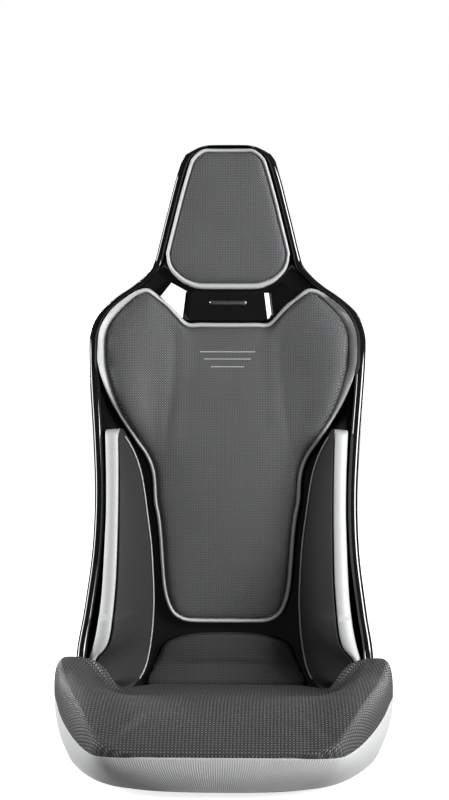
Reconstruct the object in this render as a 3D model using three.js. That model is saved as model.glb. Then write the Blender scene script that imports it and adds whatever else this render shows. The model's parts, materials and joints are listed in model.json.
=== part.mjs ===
// A fixed-back bucket racing seat: a glossy moulded shell with a head, back, two side
// and a seat pad held on it by hook-and-loop strips. Millimetres, +Z up, the front
// faces -Y. The solids are built about the shell's own datum and the whole group is
// moved at the end, so that the origin is the middle of the bounding box's bottom.
import * as THREE from 'three';

// ---------- driving dimensions: the shell ----------
const HEAD_TOP_Z = 966;        // top edge of the shell
const NECK_Z = 757;            // narrowest height between head and shoulders
const SHOULDER_Z = 632;        // widest height of the shoulders
const WAIST_Z = 385;           // narrowest height of the flanks
const HIP_Z = 143;             // where the flanks pass behind the cushion's ears
const HEAD_TOP_HALF = 46;      // half the straight stretch of the top edge
const HEAD_HALF = 82;          // half-width at the foot of the head's top corners
const HEAD_CORNER_DROP = 34;   // height of those corners
const NECK_HALF = 130;
const SHOULDER_HALF = 231.5;
const WAIST_HALF = 215.5;
const HIP_HALF = 239;
const PAN_FLOOR_Z = 27;        // inner face of the pan's floor, at its lowest
const PAN_FRONT_Y = -300;      // front end of the pan
const PAN_FRONT_HALF = 112;
const SHELL_WALL = 4;
const RIM_WIDTH = 16;          // rolled rim, seen from the front
const RIM_LIP = 9;             // straight return behind the roll
const WALL_POWER = 2.8;        // superellipse exponent of the shell's cross-section
const BEND_CREST_Z = 150;      // height where the side walls turn forward

// ---------- driving dimensions: pads and trims ----------
const PAD_GAP = 4;             // shell to the back of a pad's board
const STRIP_GAP = 0.9;         // shell to the back of a hook-and-loop strip
const TOUCH = 0.4;             // clearance between pieces that rest on each other
const BOARD = 2;               // pad carrier boards
const LAYER_GAP = 1.5;         // board to the pad it carries
const HEAD_PAD_THICK = 24;
const BACK_PAD_THICK = 30;
const TRIM_PROUD = 7;          // depth of the light border bands
const HEAD_TRIM = 6.2;         // border width round the head pad
const HEAD_TRIM_FOOT = 9.8;    // border width under the head pad
const HEAD_PAD_FOOT_Z = 723.5;
const HEAD_PAD_TOP_GAP = 7.4;  // top edge of the shell to the head pad's border
const BACK_TRIM = 7.4;
const BACK_TRIM_SHOULDER = 13.2;
const NECKLINE_Z = 666.5;      // straight top edge of the back pad
const BACK_PAD_FOOT_Z = 172.5;
const BAND_WIDTH = 22.5;       // light band along each side pad
const PIPING_R = 1.3;
const STRIP = 22;              // width of the hook-and-loop strips
const STRIP_THICK = 1.8;

// ---------- driving dimensions: bridge, cushion and base ----------
const BRIDGE_HALF = 74.5;      // half-width of the bridge plate at its foot
const BRIDGE_TOP_HALF = 68;
const BRIDGE_PROUD = 9;        // bridge plate in front of the shell
const EDGE_GAP = 3.6;          // bridge plate to the pads above and below it
const BADGE_HALF = 31;
const BADGE_HIGH = 6;
const SEAM_FRONT_Z = 62;       // seam between cushion top and skirt, at the front
const SEAM_REAR_Z = 98;        // the same at the ears
const CUSHION_HALF = 268;      // half-width over the ears, at the seam
const CUSHION_FRONT_Y = -343;
const EAR_RISE = 57;           // ears above the middle of the cushion
const SKIRT_FOOT_Z = 12;
const SKIRT_THICK = 4.5;
const SEAM_GAP = 1;            // skirt's top edge below the seam
const TAIL_TOP_Z = 156.5;      // top of the cushion's raised tail
const TAIL_HALF = 0.4455 * WAIST_HALF; // the tail lies between the side pads
const TAIL_THICK = 15;
const BOSS_R = 19;
const INSERT_R = 7;
const THREAD_R = 4.2;          // M8 clearance in the insert
const MOUNT_HALF_X = 145;      // base mounting points
const MOUNT_FRONT_Y = -190;
const MOUNT_REAR_Y = 20;

// ---------- materials ----------
function finish(color, roughness, metalness = 0) {
  return new THREE.MeshStandardMaterial({ color, roughness, metalness });
}
const GLOSS_BLACK = finish(0x0b0b0c, 0.12);
const PAD_FABRIC = finish(0x68686b, 0.9);
const CUSHION_FABRIC = finish(0x363638, 0.85);
const SIDE_FABRIC = finish(0x2c2c2e, 0.75);
const TRIM = finish(0xd4d5d8, 0.65);
const SKIRT_FABRIC = finish(0xb4b6ba, 0.85);
const FOAM = finish(0x57534b, 0.95);
const BOARD_PLASTIC = finish(0x1d1d1f, 0.6);
const HOOK_LOOP = finish(0x161617, 0.95);
const SATIN_METAL = finish(0xb9bbbf, 0.3, 1);
const ZINC = finish(0x9da0a4, 0.4, 1);

// ---------- small maths ----------
const lerp = (a, b, t) => a + (b - a) * t;
const clamp = (v, lo, hi) => Math.min(hi, Math.max(lo, v));

// Smooth curve through rows [key, value, ...], keys rising, read at one key.
function along(rows, key, column = 1) {
  const k = clamp(key, rows[0][0], rows[rows.length - 1][0]);
  let i = 0;
  while (i < rows.length - 2 && rows[i + 1][0] < k) i += 1;
  const slope = (j) => {
    const a = rows[Math.max(0, j - 1)];
    const b = rows[Math.min(rows.length - 1, j + 1)];
    return (b[column] - a[column]) / (b[0] - a[0]);
  };
  const [p, q] = [rows[i], rows[i + 1]];
  const span = q[0] - p[0];
  const t = (k - p[0]) / span;
  const h00 = 2 * t ** 3 - 3 * t ** 2 + 1;
  const h10 = t ** 3 - 2 * t ** 2 + t;
  const h01 = 3 * t ** 2 - 2 * t ** 3;
  const h11 = t ** 3 - t ** 2;
  return h00 * p[column] + h10 * span * slope(i) + h01 * q[column] + h11 * span * slope(i + 1);
}

// ---------- solids from two matching grids of points ----------
// front[i][j] and back[i][j] bound a closed slab. With wrap, j runs round a closed
// ring. With hub, ring 0 is shrunk to one point, which closes a dish.
function slab(front, back, { wrap = false, hub = false } = {}) {
  const rows = front.length;
  const cols = front[0].length;
  const points = [];
  const index = [];
  const add = (p) => points.push(p.x, p.y, p.z) / 3 - 1;
  const number = (grid) => grid.map((row, i) => {
    if (hub && i === 0) {
      const one = add(row[0]);
      return row.map(() => one);
    }
    return row.map(add);
  });
  const [f, b] = [number(front), number(back)];
  const tri = (p, q, r) => {
    if (p !== q && q !== r && r !== p) index.push(p, q, r);
  };
  const quad = (p, q, r, s) => {
    tri(p, q, r);
    tri(p, r, s);
  };
  const jEnd = wrap ? cols : cols - 1;
  for (let i = 0; i < rows - 1; i += 1) {
    for (let j = 0; j < jEnd; j += 1) {
      const k = (j + 1) % cols;
      quad(f[i][j], f[i + 1][j], f[i + 1][k], f[i][k]);
      quad(b[i][j], b[i][k], b[i + 1][k], b[i + 1][j]);
    }
  }
  for (let j = 0; j < jEnd; j += 1) {
    const k = (j + 1) % cols;
    if (!hub) quad(f[0][j], f[0][k], b[0][k], b[0][j]);
    quad(f[rows - 1][k], f[rows - 1][j], b[rows - 1][j], b[rows - 1][k]);
  }
  if (!wrap) {
    for (let i = 0; i < rows - 1; i += 1) {
      quad(f[i + 1][0], f[i][0], b[i][0], b[i + 1][0]);
      quad(f[i][cols - 1], f[i + 1][cols - 1], b[i + 1][cols - 1], b[i][cols - 1]);
    }
  }
  return outward(points, index);
}

// Turns the triangles over when they enclose a negative volume.
function outward(points, index) {
  let volume = 0;
  const at = (n) => new THREE.Vector3().fromArray(points, n * 3);
  for (let n = 0; n < index.length; n += 3) {
    const [a, b, c] = [at(index[n]), at(index[n + 1]), at(index[n + 2])];
    volume += a.dot(b.cross(c));
  }
  if (volume < 0) {
    for (let n = 0; n < index.length; n += 3) {
      [index[n + 1], index[n + 2]] = [index[n + 2], index[n + 1]];
    }
  }
  const geometry = new THREE.BufferGeometry();
  geometry.setAttribute('position', new THREE.Float32BufferAttribute(points, 3));
  geometry.setIndex(index);
  geometry.computeVertexNormals();
  return geometry;
}

// Round cord along a list of points, closed at both ends.
function cord(path, radius, sides = 6) {
  const rings = path.map((p, i) => {
    const ahead = path[Math.min(path.length - 1, i + 1)];
    const behind = path[Math.max(0, i - 1)];
    const run = ahead.clone().sub(behind).normalize();
    const side = new THREE.Vector3(0, 1, 0).cross(run).normalize();
    const up = run.clone().cross(side);
    const ring = [];
    for (let j = 0; j < sides; j += 1) {
      const a = (2 * Math.PI * j) / sides;
      const out = side.clone().multiplyScalar(Math.cos(a)).addScaledVector(up, Math.sin(a));
      ring.push(p.clone().addScaledVector(out, radius));
    }
    return ring;
  });
  const points = rings.flat().flatMap((p) => p.toArray());
  const index = [];
  for (let i = 0; i < rings.length - 1; i += 1) {
    for (let j = 0; j < sides; j += 1) {
      const [a, b] = [i * sides + j, i * sides + ((j + 1) % sides)];
      index.push(a, b, b + sides, a, b + sides, a + sides);
    }
  }
  const last = (rings.length - 1) * sides;
  for (let j = 1; j < sides - 1; j += 1) {
    index.push(0, j + 1, j, last, last + j, last + j + 1);
  }
  return outward(points, index);
}

// ---------- the shell's form ----------
// Half-width of the shell's outer edge at a height.
const SHOULDER_CURVE = [
  [0.13, 0.01], [0.31, 0.075], [0.46, 0.2], [0.64, 0.465], [0.75, 0.67], [0.856, 0.835],
  [0.93, 0.925],
];
const WIDTH_ROWS = [
  [0, HIP_HALF],
  [HIP_Z, HIP_HALF],
  [lerp(HIP_Z, WAIST_Z, 0.27), lerp(HIP_HALF, WAIST_HALF, 0.41)],
  [lerp(HIP_Z, WAIST_Z, 0.65), lerp(HIP_HALF, WAIST_HALF, 0.89)],
  [WAIST_Z, WAIST_HALF],
  [lerp(WAIST_Z, SHOULDER_Z, 0.34), lerp(WAIST_HALF, SHOULDER_HALF, 0.25)],
  [lerp(WAIST_Z, SHOULDER_Z, 0.8), lerp(WAIST_HALF, SHOULDER_HALF, 0.84)],
  [SHOULDER_Z, SHOULDER_HALF],
  ...SHOULDER_CURVE.map(([t, w]) => [
    lerp(SHOULDER_Z, NECK_Z, t), lerp(SHOULDER_HALF, NECK_HALF, w),
  ]),
  [NECK_Z, NECK_HALF],
  [lerp(NECK_Z, HEAD_TOP_Z - HEAD_CORNER_DROP, 0.1), lerp(NECK_HALF, HEAD_HALF, 0.14)],
  [lerp(NECK_Z, HEAD_TOP_Z - HEAD_CORNER_DROP, 0.53), lerp(NECK_HALF, HEAD_HALF, 0.53)],
  [HEAD_TOP_Z - HEAD_CORNER_DROP, HEAD_HALF],
  [HEAD_TOP_Z - 0.38 * HEAD_CORNER_DROP, lerp(HEAD_HALF, HEAD_TOP_HALF, 0.33)],
  [HEAD_TOP_Z - 0.17 * HEAD_CORNER_DROP, lerp(HEAD_HALF, HEAD_TOP_HALF, 0.61)],
  [HEAD_TOP_Z, HEAD_TOP_HALF],
];
const halfWidth = (z) => along(WIDTH_ROWS, z);
const wallX = (z) => halfWidth(z) - RIM_WIDTH;

// Depth of the shell's inner face on the centre line: a long lumbar curve.
const SPINE_ROWS = [
  [0, 100], [BEND_CREST_Z, 138], [300, 158], [400, 174], [500, 194], [600, 213], [700, 228],
  [800, 238], [900, 247], [1200, 262],
];
const spineY = (z) => along(SPINE_ROWS, z);

// How far the side walls reach forward of the centre line.
const WING_ROWS = [
  [BEND_CREST_Z, 130], [200, 116], [300, 98], [400, 82], [500, 70], [600, 54], [650, 41],
  [700, 26], [NECK_Z, 17], [850, 15], [1200, 14],
];
const wingDepth = (z) => along(WING_ROWS, z);

// Share of the wing depth reached at a share u of the half-width.
function bowl(u) {
  const inside = Math.max(0, 1 - Math.min(1, Math.abs(u)) ** WALL_POWER);
  return 1 - inside ** (1 / WALL_POWER);
}

// One station of the shell: a spine point, a crest point and a half-width.
function backStation(z) {
  return { sy: spineY(z), sz: z, cy: spineY(z) - wingDepth(z), cz: z, half: halfWidth(z) };
}

// The head's top edge rolls forward over a quarter circle.
const TOP_ROLL = 14;
function topStations() {
  const z0 = HEAD_TOP_Z - SHELL_WALL / 2 - TOP_ROLL;
  const y0 = spineY(z0);
  return [90, 65, 40, 18].map((deg) => {
    const a = THREE.MathUtils.degToRad(deg);
    const sz = z0 + TOP_ROLL * Math.sin(a);
    const sy = y0 - TOP_ROLL * (1 - Math.cos(a));
    const reach = lerp(wingDepth(z0), 2, Math.sin(a));
    const cy = sy - reach * Math.cos(a / 2);
    const cz = sz - reach * Math.sin(a / 2);
    return { sy, sz, cy, cz, half: halfWidth(sz + SHELL_WALL / 2) };
  });
}

// Below the hips the section swings from the back's plane to the pan's.
const PAN_ROWS = [
  // spine y, spine height over the floor, crest y, crest z, half-width
  [132, 82, -10, 125, HIP_HALF + 1],
  [116, 44, -36, 114, HIP_HALF + 1],
  [88, 15, -68, 107, HIP_HALF],
  [48, 2, -104, 100, HIP_HALF - 4],
  [4, 0, -142, 92, HIP_HALF - 11],
  [-50, 1, -175, 84, HIP_HALF - 22],
  [-110, 3, -208, 77, lerp(HIP_HALF, PAN_FRONT_HALF, 0.32)],
  [-175, 7, -240, 71, lerp(HIP_HALF, PAN_FRONT_HALF, 0.52)],
  [-240, 14, -272, 65, lerp(HIP_HALF, PAN_FRONT_HALF, 0.77)],
  [PAN_FRONT_Y, 25, PAN_FRONT_Y - 2, 61, PAN_FRONT_HALF],
];
function panStations() {
  return PAN_ROWS.map(([sy, up, cy, cz, half]) => ({ sy, sz: PAN_FLOOR_Z + up, cy, cz, half }));
}

const BACK_STEPS = [
  ...[0.9, 0.67, 0.43, 0.2, 0.06].map((t) => lerp(NECK_Z, HEAD_TOP_Z, t)),
  ...[1, 0.93, 0.86, 0.75, 0.64, 0.55, 0.46, 0.31, 0.13, 0].map(
    (t) => lerp(SHOULDER_Z, NECK_Z, t),
  ),
  ...[0.8, 0.6, 0.4, 0.2, 0].map((t) => lerp(WAIST_Z, SHOULDER_Z, t)),
  ...[0.83, 0.66, 0.49, 0.33, 0.18, 0.03].map((t) => lerp(HIP_Z, WAIST_Z, t)),
];
const STATIONS = [...topStations(), ...BACK_STEPS.map(backStation), ...panStations()];
const TOP_COUNT = STATIONS.length - PAN_ROWS.length - 4; // stations before the pan's bend

// Inner face of the shell at one |x|, as (y, z) points from head to pan front.
function shellLine(x) {
  const line = [];
  for (const s of STATIONS) {
    const share = Math.abs(x) / (s.half - RIM_WIDTH);
    const g = share < 1 ? bowl(share) : 1;
    line.push({ y: lerp(s.sy, s.cy, g), z: lerp(s.sz, s.cz, g) });
  }
  return line;
}

// Height of the pan's inner face (or of its rim, further out) at x, y.
function panHeight(x, y) {
  const line = shellLine(x);
  let height = 0;
  for (let i = TOP_COUNT; i < line.length - 1; i += 1) {
    const [a, b] = [line[i], line[i + 1]];
    if ((a.y - y) * (b.y - y) <= 0 && a.y !== b.y) {
      height = Math.max(height, lerp(a.z, b.z, (y - a.y) / (b.y - a.y)));
    }
  }
  return height || line[line.length - 1].z;
}
// Half-width of the shell's rim where it runs along the pan.
const RIM_ROWS = STATIONS.slice(TOP_COUNT).map((s) => [s.cy, s.half]).reverse();
const rimHalf = (y) => along(RIM_ROWS, y);

// Depth of the back's inner face at x, z.
function backDepth(x, z) {
  if (z >= BEND_CREST_Z) return spineY(z) - wingDepth(z) * bowl(Math.abs(x) / wallX(z));
  const line = shellLine(x);
  for (let i = TOP_COUNT - 1; i < line.length - 1; i += 1) {
    const [a, b] = [line[i], line[i + 1]];
    if ((a.z - z) * (b.z - z) <= 0 && a.z !== b.z) return lerp(a.y, b.y, (z - a.z) / (b.z - a.z));
  }
  return line[line.length - 1].y;
}

// Half of one section as (x, depth towards the crest) points, centre to lip end.
function sectionPath(half, depth, wall) {
  const roll = Math.min((RIM_WIDTH - wall) / 2, depth * 0.45);
  const inner = half - 2 * roll;
  const path = [];
  const floorSteps = 8;
  for (let k = 0; k < floorSteps; k += 1) {
    const a = (k / floorSteps) * (Math.PI / 2);
    const u = Math.sin(a) ** (2 / WALL_POWER);
    path.push([inner * u, (depth - roll) * bowl(u)]);
  }
  const rollSteps = 4;
  for (let k = 0; k <= rollSteps; k += 1) {
    const a = Math.PI - (k / rollSteps) * Math.PI;
    path.push([half - roll + roll * Math.cos(a), depth - roll + roll * Math.sin(a)]);
  }
  path.push([half, Math.max(0.2 * depth, depth - roll - RIM_LIP)]);
  return path;
}

// The path shifted sideways by a signed distance, for the wall's two faces.
function shifted(path, distance) {
  return path.map(([x, d], i) => {
    const a = path[Math.max(0, i - 1)];
    const b = path[Math.min(path.length - 1, i + 1)];
    const before = i === 0 ? [-b[0], b[1]] : a;
    const [tx, td] = [b[0] - before[0], b[1] - before[1]];
    const size = Math.hypot(tx, td);
    return [x - (td / size) * distance, d + (tx / size) * distance];
  });
}

function bucketShell() {
  const faces = [0.5, -0.5].map((side) => STATIONS.map((s) => {
    const [ny, nz] = [s.cy - s.sy, s.cz - s.sz];
    const depth = Math.hypot(ny, nz);
    const wall = Math.min(SHELL_WALL, 0.7 * depth);
    const half = shifted(sectionPath(s.half - wall / 2, depth, wall), side * wall);
    const whole = [...half.slice(1).reverse().map(([x, d]) => [-x, d]), ...half];
    const shift = -wall / 2;
    return whole.map(([x, d]) => new THREE.Vector3(
      x,
      s.sy + (ny / depth) * (d + shift),
      s.sz + (nz / depth) * (d + shift),
    ));
  }));
  return slab(faces[0], faces[1]);
}

// ---------- pads as dishes over an outline ----------
// Right half of an outline, given as [x, z] from top centre to bottom centre.
function closedOutline(rightHalf, steps) {
  const all = [
    ...rightHalf,
    ...rightHalf.slice(1, -1).reverse().map(([x, z]) => [-x, z]),
  ].map(([x, z]) => new THREE.Vector3(x, 0, z));
  const curve = new THREE.CatmullRomCurve3(all, true, 'catmullrom', 0.5);
  return curve.getSpacedPoints(steps).slice(0, steps).map((p) => [p.x, p.z]);
}

// The outline moved inwards by a width that may change with the place.
function inset(outline, width) {
  const n = outline.length;
  return outline.map(([x, z], i) => {
    const [ax, az] = outline[(i + n - 1) % n];
    const [bx, bz] = outline[(i + 1) % n];
    const size = Math.hypot(bx - ax, bz - az);
    const w = width(x, z);
    return [x + ((bz - az) / size) * w, z - ((bx - ax) / size) * w];
  });
}

// Rings from a hub out to the outline, each point given its depth by faceY.
function rings(outline, hub, shares, faceY) {
  return shares.map((share) => outline.map(([x, z]) => {
    const px = lerp(hub[0], x, share);
    const pz = lerp(hub[1], z, share);
    return new THREE.Vector3(px, faceY(px, pz, share), pz);
  }));
}

const DISH_SHARES = [0, 0.45, 0.75, 0.92, 1];
// A crowned pad: full depth in the middle, rolled over towards its edge.
function paddedDish(outline, hub, restY, thick) {
  const roll = (share) => Math.sqrt(Math.max(0, 1 - share ** 12));
  const frontY = (x, z, share) => restY(x, z) - lerp(0.45, 1, roll(share)) * thick;
  const front = rings(outline, hub, DISH_SHARES, frontY);
  const back = rings(outline, hub, DISH_SHARES, restY);
  return slab(front, back, { wrap: true, hub: true });
}

// A border band between an outer and an inner outline.
function borderBand(outer, inner, restY, depth) {
  const shares = [0, 0.5, 1];
  const crown = [0.7, 1, 0.75];
  const grid = (faceY) => shares.map((share, n) => outer.map(([x, z], i) => {
    const px = lerp(inner[i][0], x, share);
    const pz = lerp(inner[i][1], z, share);
    return new THREE.Vector3(px, faceY(px, pz, n), pz);
  }));
  const front = grid((x, z, n) => restY(x, z) - depth * crown[n]);
  return slab(front, grid(restY), { wrap: true });
}

// A rectangular patch laid on a surface y = restY(x, z).
function patch([x0, x1], [z0, z1], restY, depth, across = 4, up = 4) {
  const grid = (off) => Array.from({ length: up + 1 }, (_, i) => (
    Array.from({ length: across + 1 }, (__, j) => {
      const x = lerp(x0, x1, j / across);
      const z = lerp(z0, z1, i / up);
      return new THREE.Vector3(x, restY(x, z) - off, z);
    })
  ));
  return slab(grid(depth), grid(0));
}

const onShell = (gap) => (x, z) => backDepth(x, z) - gap;
const STRIP_REST = onShell(STRIP_GAP);
const BOARD_REST = onShell(PAD_GAP);
const PAD_REST = onShell(PAD_GAP + BOARD + LAYER_GAP);

// ---------- head pad ----------
const HEAD_FOOT_CURVE = [[1, 0.235], [0.985, 0.185], [0.925, 0.125], [0.785, 0.06],
  [0.645, 0.025], [0.5, 0.004], [0.25, 0], [0, 0]];
function headOutline() {
  const top = HEAD_TOP_Z - HEAD_PAD_TOP_GAP;
  const side = (z) => [halfWidth(z) - RIM_WIDTH - 1, z];
  const corner = HEAD_TOP_Z - HEAD_CORNER_DROP;
  const kneeZ = lerp(HEAD_PAD_FOOT_Z, top, 0.27);
  const kneeX = side(kneeZ)[0];
  return [
    [0, top], [HEAD_TOP_HALF * 0.5, top], [HEAD_TOP_HALF * 0.86, top - 0.4],
    [HEAD_TOP_HALF * 1.08, top - 5.4], [lerp(HEAD_TOP_HALF, HEAD_HALF, 0.36), top - 14.3],
    side(corner), side(lerp(kneeZ, corner, 0.66)), side(lerp(kneeZ, corner, 0.33)),
    [kneeX, kneeZ],
    ...HEAD_FOOT_CURVE.map(([w, h]) => [kneeX * w, lerp(HEAD_PAD_FOOT_Z, top, h)]),
  ];
}

// ---------- back pad ----------
// Shares of WAIST_HALF, with a share of the height from waist to shoulder.
const BACK_FLANK = [[0.812, 0.49], [0.705, 0.348], [0.64, 0.267], [0.597, 0.187], [0.575, 0.1]];
// The same from the pad's foot to the waist.
const BACK_LOWER = [
  [0.564, 0.944], [0.542, 0.83], [0.524, 0.68], [0.509, 0.47], [0.493, 0.29], [0.466, 0.165],
  [0.423, 0.075], [0.369, 0.031], [0.292, 0.005], [0.135, 0], [0, 0],
];
function backOutline() {
  const rim = (z, gap = 0) => [halfWidth(z) - RIM_WIDTH - gap, z];
  const apex = lerp(SHOULDER_Z, NECK_Z, 0.74);
  const [waist, foot] = [WAIST_Z, BACK_PAD_FOOT_Z];
  return [
    [0, NECKLINE_Z], [BRIDGE_HALF * 0.62, NECKLINE_Z + 0.3],
    [BRIDGE_HALF - 5.5, NECKLINE_Z + 0.5], [BRIDGE_HALF + 10.5, NECKLINE_Z + 15.5],
    [BRIDGE_HALF + 24.5, NECKLINE_Z + 32], [SHOULDER_HALF * 0.51, apex - 11],
    [SHOULDER_HALF * 0.579, apex], [SHOULDER_HALF * 0.652, apex - 2.5],
    rim(lerp(SHOULDER_Z, NECK_Z, 0.63)), rim(lerp(SHOULDER_Z, NECK_Z, 0.47)),
    rim(lerp(SHOULDER_Z, NECK_Z, 0.29)), rim(lerp(SHOULDER_Z, NECK_Z, 0.12)),
    rim(SHOULDER_Z - 7), rim(SHOULDER_Z - 30), rim(SHOULDER_Z - 58, 4.5),
    rim(SHOULDER_Z - 91, 15),
    ...BACK_FLANK.map(([w, t]) => [WAIST_HALF * w, lerp(waist, SHOULDER_Z, t)]),
    ...BACK_LOWER.map(([w, t]) => [WAIST_HALF * w, lerp(foot, waist, t)]),
  ];
}
function backTrimWidth(x, z) {
  const low = clamp((z - (SHOULDER_Z - 120)) / 60, 0, 1);
  const out = clamp((Math.abs(x) - 150) / 40, 0, 1);
  return lerp(BACK_TRIM, BACK_TRIM_SHOULDER, low * out);
}

// ---------- side pads ----------
// Each row: height, gap from the wall to the band, inner edge as a share of WAIST_HALF.
const SIDE_TOP_Z = 494;
const SIDE_ROWS = [
  [78, 22, 0.705], [86, 16, 0.664], [98, 10, 0.626], [112, 7, 0.603], [130, 5, 0.589],
  [148, 8, 0.575], [178, 10, 0.561], [212, 9, 0.555], [258, 5, 0.561], [305, 4, 0.578],
  [356, 3.5, 0.61], [392, 3.5, 0.631], [421, 3.5, 0.654], [450, 3.5, 0.701],
  [473, 3.5, 0.754], [SIDE_TOP_Z - 4, 4, 0.803], [SIDE_TOP_Z, 6, 0.812],
];
const RIDGE_PROUD = 15;
const RIDGE_LOW = [[78, 26], [100, 18], [130, 8], [165, 4], [200, 9]];
function ridgeY(z) {
  const high = spineY(z) - wingDepth(z) - RIDGE_PROUD;
  return z < 200 ? along(RIDGE_LOW, z) : high;
}
function sideSection(z) {
  const outer = wallX(z) - along(SIDE_ROWS, z, 1);
  const ridge = outer - BAND_WIDTH;
  const inner = Math.min(WAIST_HALF * along(SIDE_ROWS, z, 2), ridge - 3);
  const rest = (x) => Math.min(backDepth(x, z), backDepth(x, z + 6), backDepth(x, z - 6)) - PAD_GAP;
  return { z, outer, ridge, inner, rest, top: ridgeY(z) };
}
function sideFace(sign) {
  const steps = SIDE_ROWS.map((row) => row[0]);
  const grids = [[], []];
  for (const z of steps) {
    const s = sideSection(z);
    const [front, back] = [[], []];
    const count = 6;
    for (let k = 0; k <= count; k += 1) {
      const t = k / count;
      const x = lerp(s.inner, s.ridge - TOUCH, t);
      const edge = s.rest(s.inner) - 7;
      const swell = 7 * Math.sin(Math.PI * t) * clamp((s.ridge - s.inner) / 40, 0, 1);
      const y = Math.min(lerp(edge, s.top, t) - swell, s.rest(x) - 5);
      front.push(new THREE.Vector3(sign * x, y, z));
      back.push(new THREE.Vector3(sign * x, s.rest(x), z));
    }
    grids[0].push(front);
    grids[1].push(back);
  }
  return slab(grids[0], grids[1]);
}
function sideBand(sign) {
  const steps = SIDE_ROWS.map((row) => row[0]).filter((z) => z >= 130);
  const grids = [[], []];
  for (const z of steps) {
    const s = sideSection(z);
    const [front, back] = [[], []];
    for (const [t, drop] of [[0, 1], [0.25, 0], [0.75, 1], [1, 6]]) {
      const x = lerp(s.ridge, s.outer, t);
      front.push(new THREE.Vector3(sign * x, Math.min(s.top + drop, s.rest(x) - 4), z));
      back.push(new THREE.Vector3(sign * x, s.rest(x), z));
    }
    grids[0].push(front);
    grids[1].push(back);
  }
  return slab(grids[0], grids[1]);
}
function sidePiping(sign) {
  const steps = SIDE_ROWS.map((row) => row[0]).filter((z) => z < SIDE_TOP_Z - 4);
  return cord(steps.map((z) => {
    const s = sideSection(z);
    const x = s.inner - PIPING_R - 1.4;
    return new THREE.Vector3(sign * x, s.rest(x) - PIPING_R - 2, z);
  }), PIPING_R);
}

// ---------- seat cushion ----------
// Each row: y, half-width as a share of CUSHION_HALF. Behind the ears the cushion lies
// between the shell's walls, so there it is a share of HIP_HALF.
const EAR_OUTLINE = [
  [CUSHION_FRONT_Y, 0.42], [CUSHION_FRONT_Y + 4, 0.58], [CUSHION_FRONT_Y + 12, 0.665],
  [-316, 0.71], [-275, 0.785], [-214, 0.866], [-150, 0.933], [-92, 0.978], [-62, 1],
  [-44, 0.99], [-32, 0.955],
];
const INNER_OUTLINE = [
  [-20, 0.886], [-2, 0.813], [20, 0.723], [40, 0.628], [62, 0.561], [80, 0.521],
];
const OUTLINE_ROWS = [
  ...EAR_OUTLINE.map(([y, share]) => [y, CUSHION_HALF * share]),
  ...INNER_OUTLINE.map(([y, share]) => [y, HIP_HALF * share]),
];
const CUSHION_REAR_Y = 84;
const MID_ROWS = [
  [CUSHION_FRONT_Y, SEAM_FRONT_Z + 4], [CUSHION_FRONT_Y + 9, 84], [CUSHION_FRONT_Y + 25, 97],
  [-292, 105], [-255, 108], [-190, 106], [-100, 98], [0, 88], [60, 82], [CUSHION_REAR_Y, 79],
];
const EAR_ROWS = [
  [CUSHION_FRONT_Y, 0], [-300, 0.02], [-250, 0.14], [-200, 0.3], [-150, 0.47], [-100, 0.68],
  [-66, 0.9], [-42, 1], [-31, 0.98], [-20, 0.84], [-2, 0.3], [20, 0.05], [40, 0],
  [CUSHION_REAR_Y, 0],
];
const outlineHalf = (y) => along(OUTLINE_ROWS, y);
const seamZ = (y) => lerp(SEAM_FRONT_Z, SEAM_REAR_Z, clamp((y + 320) / 290, 0, 1) ** 1.3);
const EAR_START_FRONT = 115;   // where the ears begin to rise, in front
const EAR_START_REAR = 165;    // and beside the side pads
function cushionTop(x, y) {
  const start = lerp(EAR_START_FRONT, EAR_START_REAR, clamp((y + 170) / 110, 0, 1));
  const ridge = outlineHalf(y) - 20;
  const t = clamp((Math.abs(x) - start) / Math.max(30, ridge - start), 0, 1);
  return along(MID_ROWS, y) + EAR_RISE * along(EAR_ROWS, y) * t * t * (3 - 2 * t);
}
const CUSHION_BASE_Z = 58;     // underside of the cushion between the pan's walls
const CUSHION_EDGE = 4;        // least thickness where the cushion thins over the shell's rim
function cushionUnder(x, y) {
  const near = [-8, 0, 8].map((d) => panHeight(x + 5, y + d));
  const base = y < PAN_FRONT_Y - 8 ? seamZ(y) + 1 : CUSHION_BASE_Z;
  return Math.max(base, Math.max(...near) + PAD_GAP);
}
function cushionSection(y) {
  const half = outlineHalf(y);
  const shares = [0, 0.2, 0.4, 0.55, 0.68, 0.79, 0.88, 0.95, 1];
  const shoulder = half - 12;
  const top = shares.map((u) => [shoulder * u, cushionTop(shoulder * u, y)]);
  const crown = top[top.length - 1][1];
  const rim = rimHalf(y);
  const wall = rim - RIM_WIDTH;
  const places = [0, 0.3, 0.55, 0.74, 0.87, 0.96].map((u) => u * wall);
  places.push(wall + 0.5, rim - RIM_WIDTH / 2, rim + 4);
  const fit = Math.min(1, (half - 12) / (rim + 4));
  const reach = Math.min(1, fit / 0.92);
  const under = places.map((x) => [x * fit, cushionUnder(x * reach, y)]);
  const last = under[under.length - 1];
  const overRim = half > wall - 14 ? rim - RIM_WIDTH / 2 : half - 5;
  const rest = half < rim + 16 ? Math.max(seamZ(y), cushionUnder(overRim, y)) : seamZ(y);
  const low = Math.min(rest, crown - CUSHION_EDGE);
  top.push([half - 2.5, lerp(crown, low, 0.3)], [half, lerp(crown, low, 0.7)], [half - 0.3, low]);
  under.push(...[[0.4, 0.25], [0.62, 0.55], [0.95, 0.97]].map(([across, up]) => (
    [lerp(last[0], half, across), lerp(last[1], low, up)]
  )));
  return { top, under: under.map(([x, z]) => [x, Math.min(z, crown - CUSHION_EDGE)]) };
}
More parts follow.
